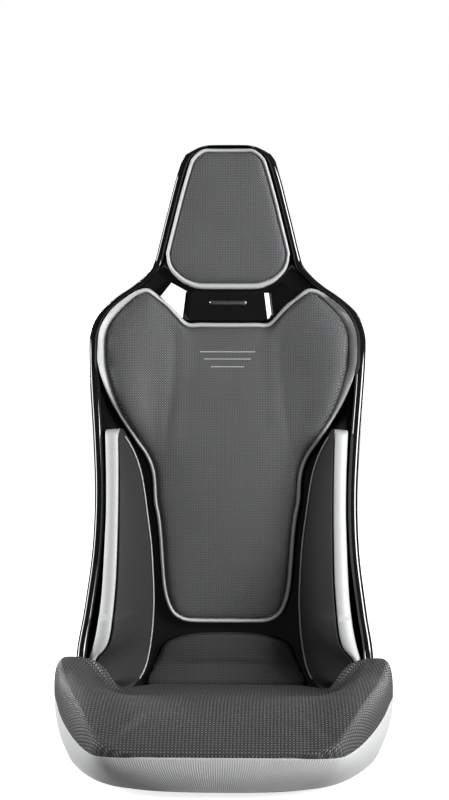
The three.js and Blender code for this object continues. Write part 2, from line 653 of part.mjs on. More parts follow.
function cushionCover() {
  const between = [-296, -245, -182, -120, -28, -24];
  const rows = OUTLINE_ROWS.map(([y]) => y);
  const steps = [...rows, ...between, CUSHION_REAR_Y].sort((a, b) => a - b);
  const grids = [[], []];
  for (const y of steps) {
    const s = cushionSection(y);
    ['top', 'under'].forEach((side, n) => {
      const half = s[side].map(([x, z]) => new THREE.Vector3(x, y, z));
      const mirror = half.slice(1).reverse().map((p) => new THREE.Vector3(-p.x, p.y, p.z));
      grids[n].push([...mirror, ...half]);
    });
  }
  return slab(grids[0], grids[1]);
}

// Lower foam block between the cushion and the pan's floor.
function cushionFoam() {
  const grids = [[], []];
  for (const y of [-255, -215, -175, -130, -85, -40, 0, 35]) {
    const [top, bottom] = [[], []];
    for (let k = -6; k <= 6; k += 1) {
      const x = (k / 6) * outlineHalf(y) * 0.4;
      top.push(new THREE.Vector3(x, y, CUSHION_BASE_Z - TOUCH));
      const floor = Math.max(panHeight(x, y - 12), panHeight(x, y), panHeight(x, y + 12));
      bottom.push(new THREE.Vector3(x, y, floor + PAD_GAP + STRIP_THICK));
    }
    grids[0].push(top);
    grids[1].push(bottom);
  }
  return slab(grids[0], grids[1]);
}

// The skirt hangs from the seam round the front and both sides, and tucks in behind.
// Each row: seam x as a share of CUSHION_HALF, seam y, foot x share, foot y.
const SKIRT_ROWS = [
  [0.935, 52, 0.915, 52], [0.985, 30, 0.935, 30], [1, -10, 0.935, -10], [0.998, -50, 0.93, -50],
  [0.972, -100, 0.91, -100], [0.933, -150, 0.87, -155], [0.866, -214, 0.797, -215],
  [0.785, -275, 0.7, -270], [0.71, -316, 0.6, -302], [0.64, CUSHION_FRONT_Y + 9, 0.5, -318],
  [0.49, CUSHION_FRONT_Y + 2, 0.36, -332], [0.26, CUSHION_FRONT_Y, 0.19, -338.5],
  [0, CUSHION_FRONT_Y, 0, -340],
];
function cushionSkirt() {
  const whole = [...SKIRT_ROWS, ...SKIRT_ROWS.slice(0, -1).reverse().map(
    ([sx, sy, fx, fy]) => [-sx, sy, -fx, fy],
  )];
  const outer = [0, 0.33, 0.67, 1].map((t) => whole.map(([sx, sy, fx, fy]) => new THREE.Vector3(
    CUSHION_HALF * lerp(sx, fx, t ** 1.5),
    lerp(sy, fy, t ** 1.5),
    lerp(seamZ(sy) - SEAM_GAP, SKIRT_FOOT_Z, t),
  )));
  const inner = outer.map((row) => row.map((p, i) => {
    const run = row[Math.min(row.length - 1, i + 1)].clone().sub(row[Math.max(0, i - 1)]);
    const inward = new THREE.Vector3(run.y, -run.x, 0).normalize();
    return p.clone().addScaledVector(inward, -Math.sign(inward.dot(p)) * SKIRT_THICK);
  }));
  return slab(outer, inner);
}

// Raised tail at the cushion's rear, leaning on the shell.
const TAIL_FOOT_Z = 84;
const TAIL_FACE_Y = 103;
const TAIL_LEAN = 0.1;         // metres back for each metre of height
const TAIL_HUB = [0, 118];
const tailFace = (x, z) => TAIL_FACE_Y + TAIL_LEAN * (z - TAIL_FOOT_Z);
function tailOutline(grow = 0) {
  const [top, foot] = [TAIL_TOP_Z + grow, TAIL_FOOT_Z];
  return [
    [0, top], [TAIL_HALF * 0.385, top - 0.8], [TAIL_HALF * 0.615, top - 3.2],
    [TAIL_HALF - 15 + grow, top - 9],
    [TAIL_HALF + grow, top - 16.5], [TAIL_HALF + 8 + grow, top - 25],
    [TAIL_HALF + 14 + grow, lerp(foot, top, 0.45)], [TAIL_HALF + 20 + grow, foot + 9],
    [TAIL_HALF + 16, foot], [TAIL_HALF * 0.625, foot - 1], [0, foot - 1],
  ];
}
function cushionTail() {
  const outline = closedOutline(tailOutline(), 32);
  const roll = (share) => Math.sqrt(Math.max(0, 1 - share ** 10));
  const shares = [0, 0.4, 0.75, 0.92, 1];
  const rest = (x, z) => Math.min(tailFace(x, z) + TAIL_THICK, backDepth(x, z) - PAD_GAP);
  const front = rings(outline, TAIL_HUB, shares, (x, z, s) => (
    Math.min(lerp(tailFace(x, z) + TAIL_THICK * 0.6, tailFace(x, z), roll(s)), rest(x, z) - 5)
  ));
  return slab(front, rings(outline, TAIL_HUB, shares, rest), { wrap: true, hub: true });
}
function tailPiping() {
  const right = tailOutline(PIPING_R + TOUCH).slice(0, 8);
  const all = [...right.slice(1).reverse().map(([x, z]) => [-x, z]), ...right];
  const line = new THREE.CatmullRomCurve3(
    all.map(([x, z]) => new THREE.Vector3(x, tailFace(x, z) + 5, z)), false, 'catmullrom', 0.5,
  );
  return cord(line.getSpacedPoints(24), PIPING_R);
}

// ---------- bridge plate and badge ----------
function bridgeOutline() {
  const foot = NECKLINE_Z + EDGE_GAP;
  const top = HEAD_PAD_FOOT_Z - EDGE_GAP;
  return [
    [0, top], [BRIDGE_TOP_HALF - 14, top], [BRIDGE_TOP_HALF - 4, top - 1],
    [BRIDGE_TOP_HALF, top - 5], [lerp(BRIDGE_TOP_HALF, BRIDGE_HALF, 0.35), lerp(foot, top, 0.5)],
    [BRIDGE_HALF - 2, foot + 5], [BRIDGE_HALF - 5, foot + 0.8], [BRIDGE_HALF - 16, foot],
    [0, foot],
  ];
}
const bridgeFace = onShell(BRIDGE_PROUD);
function bridgePlate() {
  const outline = closedOutline(bridgeOutline(), 36);
  const hub = [0, lerp(NECKLINE_Z, HEAD_PAD_FOOT_Z, 0.5)];
  const shares = [0, 0.5, 0.93, 1];
  const front = rings(outline, hub, shares, (x, z, s) => bridgeFace(x, z) + (s === 1 ? 2 : 0));
  return slab(front, rings(outline, hub, shares, onShell(TOUCH)), { wrap: true, hub: true });
}
function badgeBar() {
  const z = lerp(NECKLINE_Z, HEAD_PAD_FOOT_Z, 0.6);
  const rest = (x, h) => Math.min(bridgeFace(x, h), bridgeFace(x, z)) - TOUCH;
  return patch([-BADGE_HALF, BADGE_HALF], [z - BADGE_HIGH / 2, z + BADGE_HIGH / 2], rest, 1.2, 6, 1);
}

// ---------- base bosses and threaded inserts ----------
function ringBlock(outerR, innerR, height) {
  const shape = new THREE.Shape().absarc(0, 0, outerR, 0, 2 * Math.PI, false);
  shape.holes.push(new THREE.Path().absarc(0, 0, innerR, 0, 2 * Math.PI, true));
  return new THREE.ExtrudeGeometry(shape, { depth: height, bevelEnabled: false, curveSegments: 9 });
}
const BOSS_TOP_Z = PAN_FLOOR_Z - SHELL_WALL - 2;

// ---------- assembly ----------
const seat = new THREE.Group();
function place(name, geometry, material, x = 0, y = 0, z = 0) {
  const mesh = new THREE.Mesh(geometry, material);
  mesh.name = name;
  mesh.position.set(x, y, z);
  seat.add(mesh);
}

place('bucket_shell', bucketShell(), GLOSS_BLACK);

const headOuter = closedOutline(headOutline(), 44);
const headWidth = (x, z) => lerp(HEAD_TRIM_FOOT, HEAD_TRIM, clamp((z - HEAD_PAD_FOOT_Z) / 45, 0, 1));
const headInner = inset(headOuter, headWidth);
const headCover = inset(headOuter, (x, z) => headWidth(x, z) + TOUCH);
const HEAD_HUB = [0, lerp(HEAD_PAD_FOOT_Z, HEAD_TOP_Z, 0.45)];
place('head_pad', paddedDish(headCover, HEAD_HUB, PAD_REST, HEAD_PAD_THICK), PAD_FABRIC);
place('head_pad_border', borderBand(headOuter, headInner, PAD_REST, TRIM_PROUD + 4), TRIM);
const headBoard = inset(headOuter, () => 9);
function board(outline, hub) {
  return slab(
    rings(outline, hub, DISH_SHARES, onShell(PAD_GAP + BOARD)),
    rings(outline, hub, DISH_SHARES, BOARD_REST),
    { wrap: true, hub: true },
  );
}
place('head_pad_board', board(headBoard, HEAD_HUB), BOARD_PLASTIC);

const backOuter = closedOutline(backOutline(), 68);
const backInner = inset(backOuter, backTrimWidth);
const backCover = inset(backOuter, (x, z) => backTrimWidth(x, z) + TOUCH);
const BACK_HUB = [0, lerp(BACK_PAD_FOOT_Z, NECKLINE_Z, 0.73)];
place('back_pad', paddedDish(backCover, BACK_HUB, PAD_REST, BACK_PAD_THICK), PAD_FABRIC);
place('back_pad_border', borderBand(backOuter, backInner, PAD_REST, TRIM_PROUD + 5), TRIM);
place('back_pad_board', board(inset(backOuter, () => 14), BACK_HUB), BOARD_PLASTIC);

place('bridge_plate', bridgePlate(), GLOSS_BLACK);
place('badge_bar', badgeBar(), SATIN_METAL);

for (const [side, sign] of [['left', -1], ['right', 1]]) {
  place(`side_pad_${side}`, sideFace(sign), SIDE_FABRIC);
  place(`side_band_${side}`, sideBand(sign), TRIM);
  place(`side_piping_${side}`, sidePiping(sign), TRIM);
  place(`head_strip_${side}`, patch([sign * 30, sign * (30 + STRIP)],
    [HEAD_PAD_FOOT_Z + 50, HEAD_TOP_Z - 90], STRIP_REST, STRIP_THICK), HOOK_LOOP);
  const levels = [['upper', SHOULDER_Z - 60], ['lower', WAIST_Z - 120]];
  for (const [level, z] of levels) {
    place(`back_strip_${level}_${side}`, patch([sign * 35, sign * (35 + STRIP)],
      [z - 45, z + 45], STRIP_REST, STRIP_THICK), HOOK_LOOP);
  }
  const stripX = WAIST_HALF * 0.7;
  place(`side_strip_${side}`, patch([sign * stripX, sign * (stripX + STRIP)],
    [WAIST_Z - 155, WAIST_Z - 55], STRIP_REST, STRIP_THICK), HOOK_LOOP);
}

place('cushion_cover', cushionCover(), CUSHION_FABRIC);
place('cushion_foam', cushionFoam(), FOAM);
place('cushion_skirt', cushionSkirt(), SKIRT_FABRIC);
place('cushion_tail', cushionTail(), CUSHION_FABRIC);
place('tail_piping', tailPiping(), TRIM);

for (const [end, y] of [['front', MOUNT_FRONT_Y], ['rear', MOUNT_REAR_Y]]) {
  for (const [side, sign] of [['left', -1], ['right', 1]]) {
    place(`base_boss_${end}_${side}`, ringBlock(BOSS_R, INSERT_R + TOUCH, BOSS_TOP_Z),
      BOARD_PLASTIC, sign * MOUNT_HALF_X, y, 0);
    place(`thread_insert_${end}_${side}`, ringBlock(INSERT_R, THREAD_R, BOSS_TOP_Z - 1),
      ZINC, sign * MOUNT_HALF_X, y, 0.5);
  }
}

// The origin goes to the middle of the bottom of the bounding box.
const box = new THREE.Box3().setFromObject(seat);
seat.position.set(0, -(box.min.y + box.max.y) / 2, -box.min.z);

export default seat;
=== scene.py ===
"""Looks of the bucket racing seat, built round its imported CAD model.

Sizes are in millimetres about the shell's own datum, as in the CAD source, and every
point is moved into the row frame when a mesh is made.
"""
import json
import math

import bmesh
import bpy
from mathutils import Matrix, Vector, interpolate
from mathutils.bvhtree import BVHTree

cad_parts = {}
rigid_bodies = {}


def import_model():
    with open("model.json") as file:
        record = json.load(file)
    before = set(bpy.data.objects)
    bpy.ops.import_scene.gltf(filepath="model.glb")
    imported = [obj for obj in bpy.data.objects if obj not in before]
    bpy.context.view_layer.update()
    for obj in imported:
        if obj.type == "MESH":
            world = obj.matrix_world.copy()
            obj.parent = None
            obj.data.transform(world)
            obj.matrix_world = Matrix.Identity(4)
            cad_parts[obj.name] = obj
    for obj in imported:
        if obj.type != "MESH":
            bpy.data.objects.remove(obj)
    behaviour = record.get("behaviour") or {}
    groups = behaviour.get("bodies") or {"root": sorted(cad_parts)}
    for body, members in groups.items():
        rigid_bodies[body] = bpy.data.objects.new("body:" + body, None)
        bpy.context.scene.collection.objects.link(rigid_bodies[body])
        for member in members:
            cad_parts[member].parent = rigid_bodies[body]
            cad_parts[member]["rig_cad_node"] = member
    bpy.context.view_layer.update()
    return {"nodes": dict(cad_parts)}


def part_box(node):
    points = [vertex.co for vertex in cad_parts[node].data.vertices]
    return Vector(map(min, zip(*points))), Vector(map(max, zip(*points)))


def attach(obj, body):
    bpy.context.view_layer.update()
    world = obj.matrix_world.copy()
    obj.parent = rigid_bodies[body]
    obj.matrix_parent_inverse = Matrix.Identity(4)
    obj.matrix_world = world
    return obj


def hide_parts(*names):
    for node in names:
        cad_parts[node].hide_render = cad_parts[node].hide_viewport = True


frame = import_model()

# ---- sizes, shell
HEAD_TOP_Z, NECK_Z, SHOULDER_Z, WAIST_Z, HIP_Z = 966, 757, 632, 385, 143
HEAD_TOP_HALF, HEAD_HALF, HEAD_CORNER_DROP = 46, 82, 34
NECK_HALF, SHOULDER_HALF, WAIST_HALF, HIP_HALF = 130, 231.5, 215.5, 239
PAN_FLOOR_Z, PAN_FRONT_Y, PAN_FRONT_HALF = 27, -300, 112
SHELL_WALL, RIM_WIDTH, RIM_LIP, WALL_POWER = 4, 16, 9, 2.8
BEND_CREST_Z, TOP_ROLL = 150, 14

# ---- sizes, pads
PAD_REST_GAP = 7.5            # shell to the back of a pad
HEAD_PAD_THICK, BACK_PAD_THICK, TRIM_PROUD = 24, 30, 7
HEAD_TRIM, HEAD_TRIM_FOOT, HEAD_PAD_FOOT_Z, HEAD_PAD_TOP_GAP = 6.2, 9.8, 723.5, 7.4
BACK_TRIM, BACK_TRIM_SHOULDER = 7.4, 13.2
NECKLINE_Z, BACK_PAD_FOOT_Z = 666.5, 172.5
BRIDGE_HALF, BRIDGE_TOP_HALF, BRIDGE_PROUD, EDGE_GAP = 74.5, 68, 9, 3.6
SEAM_FRONT_Z, SEAM_REAR_Z, CUSHION_HALF, CUSHION_FRONT_Y = 62, 98, 268, -343
CUSHION_REAR_Y, CUSHION_BASE_Z, EAR_RISE = 84, 58, 57
EAR_START_FRONT, EAR_START_REAR = 115, 165      # x where an ear begins to rise
SKIRT_FOOT_Z, SKIRT_THICK, SKIRT_RIB, RIB_HEIGHT = 12, 3, 3.6, 0.42
TAIL_TOP_Z, TAIL_FOOT_Z, TAIL_HALF, TAIL_THICK = 156.5, 84, 96, 15
TAIL_FACE_Y, TAIL_LEAN, TAIL_FOOT_RUN, TAIL_HUB_Z = 103, 0.1, 15, 118
WING_PROUD = 17               # the back pad's wings, forward of its middle
RECESS_FOOT_HALF, RECESS_TOP_HALF, RECESS_FOOT_Z, RECESS_TOP_Z = 113, 95, 711.5, 734

MM = 0.001
SHIFT_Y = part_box("cushion_cover")[0].y / MM - CUSHION_FRONT_Y


# ---- small maths
def lerp(a, b, t):
    return a + (b - a) * t


def clamp(v, lo=0.0, hi=1.0):
    return min(hi, max(lo, v))


def ease(v, lo, hi):
    """0 at lo, 1 at hi, smooth in between."""
    t = clamp((v - lo) / (hi - lo))
    return t * t * (3 - 2 * t)


def along(rows, key, column=1):
    """Smooth curve through rows (key, value, ...), keys rising, read at one key."""
    k = clamp(key, rows[0][0], rows[-1][0])
    i = 0
    while i < len(rows) - 2 and rows[i + 1][0] < k:
        i += 1

    def slope(j):
        a, b = rows[max(0, j - 1)], rows[min(len(rows) - 1, j + 1)]
        return (b[column] - a[column]) / (b[0] - a[0])

    p, q = rows[i], rows[i + 1]
    span = q[0] - p[0]
    t = (k - p[0]) / span
    h10 = t ** 3 - 2 * t ** 2 + t
    h11 = t ** 3 - t ** 2
    h01 = 3 * t ** 2 - 2 * t ** 3
    return (
        (1 - h01) * p[column] + h10 * span * slope(i)
        + h01 * q[column] + h11 * span * slope(i + 1)
    )


# ---- mesh making
def make_object(name, points, faces, material, slot=None, replaces=()):
    """A smooth-shaded piece from points in millimetres, put on body root at the script's end."""
    mesh = bpy.data.meshes.new(name)
    mesh.from_pydata([(x * MM, (y + SHIFT_Y) * MM, z * MM) for x, y, z in points], [], faces)
    bm = bmesh.new()
    bm.from_mesh(mesh)
    bmesh.ops.remove_doubles(bm, verts=bm.verts, dist=1e-6)
    bmesh.ops.dissolve_degenerate(bm, dist=1e-7, edges=bm.edges)
    bmesh.ops.recalc_face_normals(bm, faces=bm.faces)
    bm.to_mesh(mesh)
    bm.free()
    mesh.shade_smooth()
    obj = bpy.data.objects.new(name, mesh)
    bpy.context.scene.collection.objects.link(obj)
    mesh.materials.append(material)
    if replaces:
        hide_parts(*replaces)
    return obj


def grid_faces(rows, cols, start=0, wrap=False):
    faces = []
    for i in range(rows - 1):
        for j in range(cols if wrap else cols - 1):
            k = (j + 1) % cols
            a, b = start + i * cols, start + (i + 1) * cols
            faces.append((a + j, a + k, b + k, b + j))
    return faces


def slab(front, back, wrap=False, hub=False):
    """Points and faces of a closed slab between two matching grids."""
    rows, cols = len(front), len(front[0])
    points = [p for row in front for p in row] + [p for row in back for p in row]
    base = rows * cols
    faces = grid_faces(rows, cols, 0, wrap) + grid_faces(rows, cols, base, wrap)
    for j in range(cols if wrap else cols - 1):
        k = (j + 1) % cols
        last = (rows - 1) * cols
        faces.append((last + j, last + k, base + last + k, base + last + j))
        if not hub:
            faces.append((j, k, base + k, base + j))
    if not wrap:
        for i in range(rows - 1):
            for j in (0, cols - 1):
                a, b = i * cols + j, (i + 1) * cols + j
                faces.append((a, b, base + b, base + a))
    return points, faces


def tube(path, radius, sides=8, closed=False):
    """Points and faces of a round cord along a list of points."""
    count = len(path)
    points = []
    for i, p in enumerate(path):
        ahead = path[(i + 1) % count] if closed else path[min(count - 1, i + 1)]
        behind = path[i - 1] if closed else path[max(0, i - 1)]
        run = (Vector(ahead) - Vector(behind)).normalized()
        side = Vector((0, 1, 0)).cross(run).normalized()
        up = run.cross(side)
        for j in range(sides):
            a = 2 * math.pi * j / sides
            points.append(Vector(p) + (side * math.cos(a) + up * math.sin(a)) * radius)
    faces = []
    for i in range(count if closed else count - 1):
        a, b = i * sides, ((i + 1) % count) * sides
        for j in range(sides):
            k = (j + 1) % sides
            faces.append((a + j, a + k, b + k, b + j))
    if not closed:
        faces.append(tuple(range(sides)))
        faces.append(tuple((count - 1) * sides + j for j in range(sides)))
    return points, faces


# ---- the shell's form
SHOULDER_CURVE = (
    (0.13, 0.01), (0.31, 0.075), (0.46, 0.2), (0.64, 0.465), (0.75, 0.67), (0.856, 0.835),
    (0.93, 0.925),
)
HEAD_CORNER_Z = HEAD_TOP_Z - HEAD_CORNER_DROP
WIDTH_ROWS = (
    (0, HIP_HALF),
    (HIP_Z, HIP_HALF),
    (lerp(HIP_Z, WAIST_Z, 0.27), lerp(HIP_HALF, WAIST_HALF, 0.41)),
    (lerp(HIP_Z, WAIST_Z, 0.65), lerp(HIP_HALF, WAIST_HALF, 0.89)),
    (WAIST_Z, WAIST_HALF),
    (lerp(WAIST_Z, SHOULDER_Z, 0.34), lerp(WAIST_HALF, SHOULDER_HALF, 0.25)),
    (lerp(WAIST_Z, SHOULDER_Z, 0.8), lerp(WAIST_HALF, SHOULDER_HALF, 0.84)),
    (SHOULDER_Z, SHOULDER_HALF),
    *((lerp(SHOULDER_Z, NECK_Z, t), lerp(SHOULDER_HALF, NECK_HALF, w)) for t, w in SHOULDER_CURVE),
    (NECK_Z, NECK_HALF),
    (lerp(NECK_Z, HEAD_CORNER_Z, 0.1), lerp(NECK_HALF, HEAD_HALF, 0.14)),
    (lerp(NECK_Z, HEAD_CORNER_Z, 0.53), lerp(NECK_HALF, HEAD_HALF, 0.53)),
    (HEAD_CORNER_Z, HEAD_HALF),
    (HEAD_TOP_Z - 0.38 * HEAD_CORNER_DROP, HEAD_HALF - 14),
    (HEAD_TOP_Z - 0.17 * HEAD_CORNER_DROP, HEAD_HALF - 26.5),
    (HEAD_TOP_Z - 0.05 * HEAD_CORNER_DROP, HEAD_HALF - 37),
    (HEAD_TOP_Z, HEAD_HALF - 45),
)
SPINE_ROWS = (
    (0, 100), (BEND_CREST_Z, 138), (300, 158), (400, 174), (500, 194), (600, 213), (700, 228),
    (800, 238), (900, 247), (1200, 262),
)
WING_ROWS = (
    (BEND_CREST_Z, 130), (200, 116), (300, 98), (400, 82), (500, 70), (600, 54), (650, 41),
    (700, 26), (NECK_Z, 17), (850, 15), (1200, 14),
)
PAN_ROWS = (  # spine y, spine height over the floor, crest y, crest z, half-width
    (132, 82, -10, 125, HIP_HALF + 1),
    (116, 44, -36, 114, HIP_HALF + 1),
    (88, 15, -68, 107, HIP_HALF),
    (48, 2, -104, 100, HIP_HALF - 4),
    (4, 0, -142, 92, HIP_HALF - 11),
    (-50, 1, -175, 84, HIP_HALF - 22),
    (-110, 3, -208, 77, lerp(HIP_HALF, PAN_FRONT_HALF, 0.32)),
    (-175, 7, -240, 71, lerp(HIP_HALF, PAN_FRONT_HALF, 0.52)),
    (-240, 14, -272, 65, lerp(HIP_HALF, PAN_FRONT_HALF, 0.77)),
    (PAN_FRONT_Y, 25, PAN_FRONT_Y - 2, 61, PAN_FRONT_HALF),
)


def half_width(z):
    return along(WIDTH_ROWS, z)


def wall_x(z):
    return half_width(z) - RIM_WIDTH


def spine_y(z):
    return along(SPINE_ROWS, z)


def wing_depth(z):
    return along(WING_ROWS, z)


def bowl(u):
    inside = max(0.0, 1 - min(1.0, abs(u)) ** WALL_POWER)
    return 1 - inside ** (1 / WALL_POWER)


def back_station(z):
    y = spine_y(z)
    return (y, z, y - wing_depth(z), z, half_width(z))


def top_stations():
    z0 = HEAD_TOP_Z - SHELL_WALL / 2 - TOP_ROLL
    y0 = spine_y(z0)
    made = []
    for deg in (90, 80, 70, 60, 50, 40, 30, 20, 10):
        a = math.radians(deg)
        sz = z0 + TOP_ROLL * math.sin(a)
        sy = y0 - TOP_ROLL * (1 - math.cos(a))
        reach = lerp(wing_depth(z0), 2, math.sin(a))
        cy, cz = sy - reach * math.cos(a / 2), sz - reach * math.sin(a / 2)
        made.append((sy, sz, cy, cz, half_width(sz + SHELL_WALL / 2)))
    return made


def pan_keys():
    """Stations of the bend and the pan with a running length as their key."""
    rows = [back_station(z) for z in (215, 190, 170, BEND_CREST_Z)]
    rows += [(sy, PAN_FLOOR_Z + up, cy, cz, half) for sy, up, cy, cz, half in PAN_ROWS]
    keyed, run = [], 0.0
    for n, row in enumerate(rows):
        if n:
            last = rows[n - 1]
            run += math.hypot(row[0] - last[0], row[1] - last[1])
            run += math.hypot(row[2] - last[2], row[3] - last[3])
        keyed.append((run, *row))
    return keyed


PAN_KEYS = pan_keys()


def pan_stations(count):
    start, end = PAN_KEYS[3][0], PAN_KEYS[-1][0]
    keys = [lerp(start, end, n / count) for n in range(1, count + 1)]
    return [tuple(along(PAN_KEYS, k, c) for c in range(1, 6)) for k in keys]


def shell_stations(step=5.0):
    z0 = HEAD_TOP_Z - SHELL_WALL / 2 - TOP_ROLL
    count = int((z0 - BEND_CREST_Z) / step)
    back = [back_station(lerp(z0, BEND_CREST_Z, n / count)) for n in range(count + 1)]
    return top_stations() + back + pan_stations(90)


STATIONS = shell_stations()


def section_path(half, depth, wall):
    """Half of one section as (x, depth) points, from the centre to the lip's end."""
    roll = min((RIM_WIDTH - wall) / 2, depth * 0.45)
    inner = half - 2 * roll
    path = []
    for k in range(30):
        u = math.sin(k / 30 * math.pi / 2) ** (2 / WALL_POWER)
        path.append((inner * u, (depth - roll) * bowl(u)))
    for k in range(13):
        a = math.pi - k / 12 * math.pi
        path.append((half - roll + roll * math.cos(a), depth - roll + roll * math.sin(a)))
    end = max(0.2 * depth, depth - roll - RIM_LIP)
    path += [(half, lerp(depth - roll, end, t)) for t in (0.5, 1)]
    return path


def offset_path(path, distance):
    made = []
    for i, (x, d) in enumerate(path):
        b = path[min(len(path) - 1, i + 1)]
        a = (-b[0], b[1]) if i == 0 else path[i - 1]
        tx, td = b[0] - a[0], b[1] - a[1]
        size = math.hypot(tx, td) or 1.0
        made.append((x - td / size * distance, d + tx / size * distance))
    return made


def shell_mesh():
    faces = []
    for side in (0.5, -0.5):
        grid = []
        for sy, sz, cy, cz, half in STATIONS:
            ny, nz = cy - sy, cz - sz
            depth = math.hypot(ny, nz)
            wall = min(SHELL_WALL, 0.7 * depth)
            path = offset_path(section_path(half - wall / 2, depth, wall), side * wall)
            whole = [(-x, d) for x, d in path[:0:-1]] + path
            grid.append([
                (x, sy + ny / depth * (d - wall / 2), sz + nz / depth * (d - wall / 2))
                for x, d in whole
            ])
        faces.append(grid)
    return slab(faces[0], faces[1])


def shell_line(x):
    line = []
    for sy, sz, cy, cz, half in STATIONS:
        g = bowl(abs(x) / (half - RIM_WIDTH))
        line.append((lerp(sy, cy, g), lerp(sz, cz, g)))
    return line


PAN_START = len(STATIONS) - 90
LINES = {}


def line_at(x):
    key = round(abs(x))
    if key not in LINES:
        LINES[key] = shell_line(key)
    return LINES[key]


def pan_height(x, y):
    line = line_at(x)
    height = 0.0
    for (ay, az), (by, bz) in zip(line[PAN_START:], line[PAN_START + 1:]):
        if (ay - y) * (by - y) <= 0 and ay != by:
            height = max(height, lerp(az, bz, (y - ay) / (by - ay)))
    return height or line[-1][1]


def back_depth(x, z):
    if z >= BEND_CREST_Z:
        return spine_y(z) - wing_depth(z) * bowl(abs(x) / wall_x(z))
    line = line_at(x)
    for (ay, az), (by, bz) in zip(line[PAN_START - 1:], line[PAN_START:]):
        if (az - z) * (bz - z) <= 0 and az != bz:
            return lerp(ay, by, (z - az) / (bz - az))
    return line[-1][0]


# ---- outlines
def closed_outline(right_half, steps):
    """Even points round a smooth closed curve through a half outline and its mirror."""
    knots = list(right_half) + [(-x, z) for x, z in right_half[-2:0:-1]]
    n = len(knots)
    fine = []
    for i in range(n):
        p0, p1, p2, p3 = (knots[(i + k) % n] for k in (-1, 0, 1, 2))
        for s in range(12):
            t = s / 12
            fine.append(tuple(
                0.5 * (2 * b + (c - a) * t + (2 * a - 5 * b + 4 * c - d) * t ** 2
                       + (3 * b - a - 3 * c + d) * t ** 3)
                for a, b, c, d in zip(p0, p1, p2, p3)
            ))
    lengths = [0.0]
    for i in range(len(fine)):
        a, b = fine[i], fine[(i + 1) % len(fine)]
        lengths.append(lengths[-1] + math.hypot(b[0] - a[0], b[1] - a[1]))
    made, i = [], 0
    for s in range(steps):
        want = lengths[-1] * s / steps
        while lengths[i + 1] < want:
            i += 1
        a, b = fine[i], fine[(i + 1) % len(fine)]
        t = (want - lengths[i]) / (lengths[i + 1] - lengths[i])
        made.append((lerp(a[0], b[0], t), lerp(a[1], b[1], t)))
    return made


def inset(outline, width):
    n = len(outline)
    made = []
    for i, (x, z) in enumerate(outline):
        (ax, az), (bx, bz) = outline[i - 1], outline[(i + 1) % n]
        size = math.hypot(bx - ax, bz - az)
        w = width(x, z)
        made.append((x + (bz - az) / size * w, z - (bx - ax) / size * w))
    return made


def rings(outline, hub, shares, face_y):
    return [
        [
            (lerp(hub[0], x, s), face_y(lerp(hub[0], x, s), lerp(hub[1], z, s), s),
             lerp(hub[1], z, s))
            for x, z in outline
        ]
        for s in shares
    ]


def hub_form(outline, hub, shares, front, back):
    """Points and faces of a closed form over an outline, from its front to its back."""
    return slab(
        rings(outline, hub, shares, front),
        rings(outline, hub, shares, lambda x, z, s: back(x, z)),
        wrap=True, hub=True,
    )


def rest_y(x, z):
    return back_depth(x, z) - PAD_REST_GAP


# ---- materials
class Nodes:
    """A small helper over one material's node tree."""

    def __init__(self, name):
        self.material = bpy.data.materials.new(name)
        self.material.use_nodes = True
        self.tree = self.material.node_tree
        self.shader = self.tree.nodes["Principled BSDF"]

    def node(self, kind, **settings):
        made = self.tree.nodes.new(kind)
        for key, value in settings.items():
            setattr(made, key, value)
        return made

    def link(self, output, socket):
        self.tree.links.new(output, socket)

    def feed(self, socket, value):
        if isinstance(value, bpy.types.NodeSocket):
            self.link(value, socket)
        else:
            socket.default_value = value

    def math(self, operation, a, b=0.0):
        made = self.node("ShaderNodeMath", operation=operation)
        self.feed(made.inputs[0], a)
        self.feed(made.inputs[1], b)
        return made.outputs[0]

    def mix(self, factor, a, b):
        """Two colours or two shades, mixed."""
        made = self.node("ShaderNodeMix", data_type="RGBA")
        self.feed(made.inputs[0], factor)
        self.feed(made.inputs[6], a)
        self.feed(made.inputs[7], b)
        return made.outputs[2]

    def blend(self, factor, a, b):
        """Two numbers, mixed."""
        made = self.node("ShaderNodeMix", data_type="FLOAT")
        self.feed(made.inputs[0], factor)
        self.feed(made.inputs[2], a)
        self.feed(made.inputs[3], b)
        return made.outputs[0]

    def spread(self, value, low, high, start=0.0, end=1.0):
        made = self.node("ShaderNodeMapRange")
        self.feed(made.inputs[0], value)
        for socket, number in zip(made.inputs[1:5], (start, end, low, high)):
            socket.default_value = number
        return made.outputs[0]

    def place(self):
        return self.node("ShaderNodeTexCoord").outputs["Object"]

    def noise(self, scale, detail=3.0, stretch=(1, 1, 1)):
        mapping = self.node("ShaderNodeMapping")
        self.link(self.place(), mapping.inputs[0])
        mapping.inputs["Scale"].default_value = stretch
        made = self.node("ShaderNodeTexNoise")
        made.inputs["Scale"].default_value = scale
        made.inputs["Detail"].default_value = detail
        self.link(mapping.outputs[0], made.inputs["Vector"])
        return made.outputs["Fac"]

    def bump(self, height, distance_mm, strength=1.0):
        made = self.node("ShaderNodeBump")
        made.inputs["Strength"].default_value = strength
        made.inputs["Distance"].default_value = distance_mm * MM
        self.link(height, made.inputs["Height"])
        self.link(made.outputs[0], self.shader.inputs["Normal"])

    def set(self, **sockets):
        for key, value in sockets.items():
            self.feed(self.shader.inputs[key.replace("_", " ")], value)
        return self.material


def grey(level, tint=0.0):
    """A colour of one level; tint above 0 leans to blue, below 0 to yellow."""
    return (level * (1 - tint), level, level * (1 + tint), 1)


def gloss_black():
    n = Nodes("gloss_black")
    flow = n.noise(9, 2)
    n.set(
        Base_Color=n.mix(flow, grey(0.004), grey(0.008, 0.04)),
        Roughness=n.spread(n.noise(35, 4), 0.035, 0.085),
        Specular_IOR_Level=0.5,
        Coat_Weight=0.6,
        Coat_Roughness=0.015,
    )
    n.bump(n.noise(420, 2), 0.01, 0.25)
    return n.material


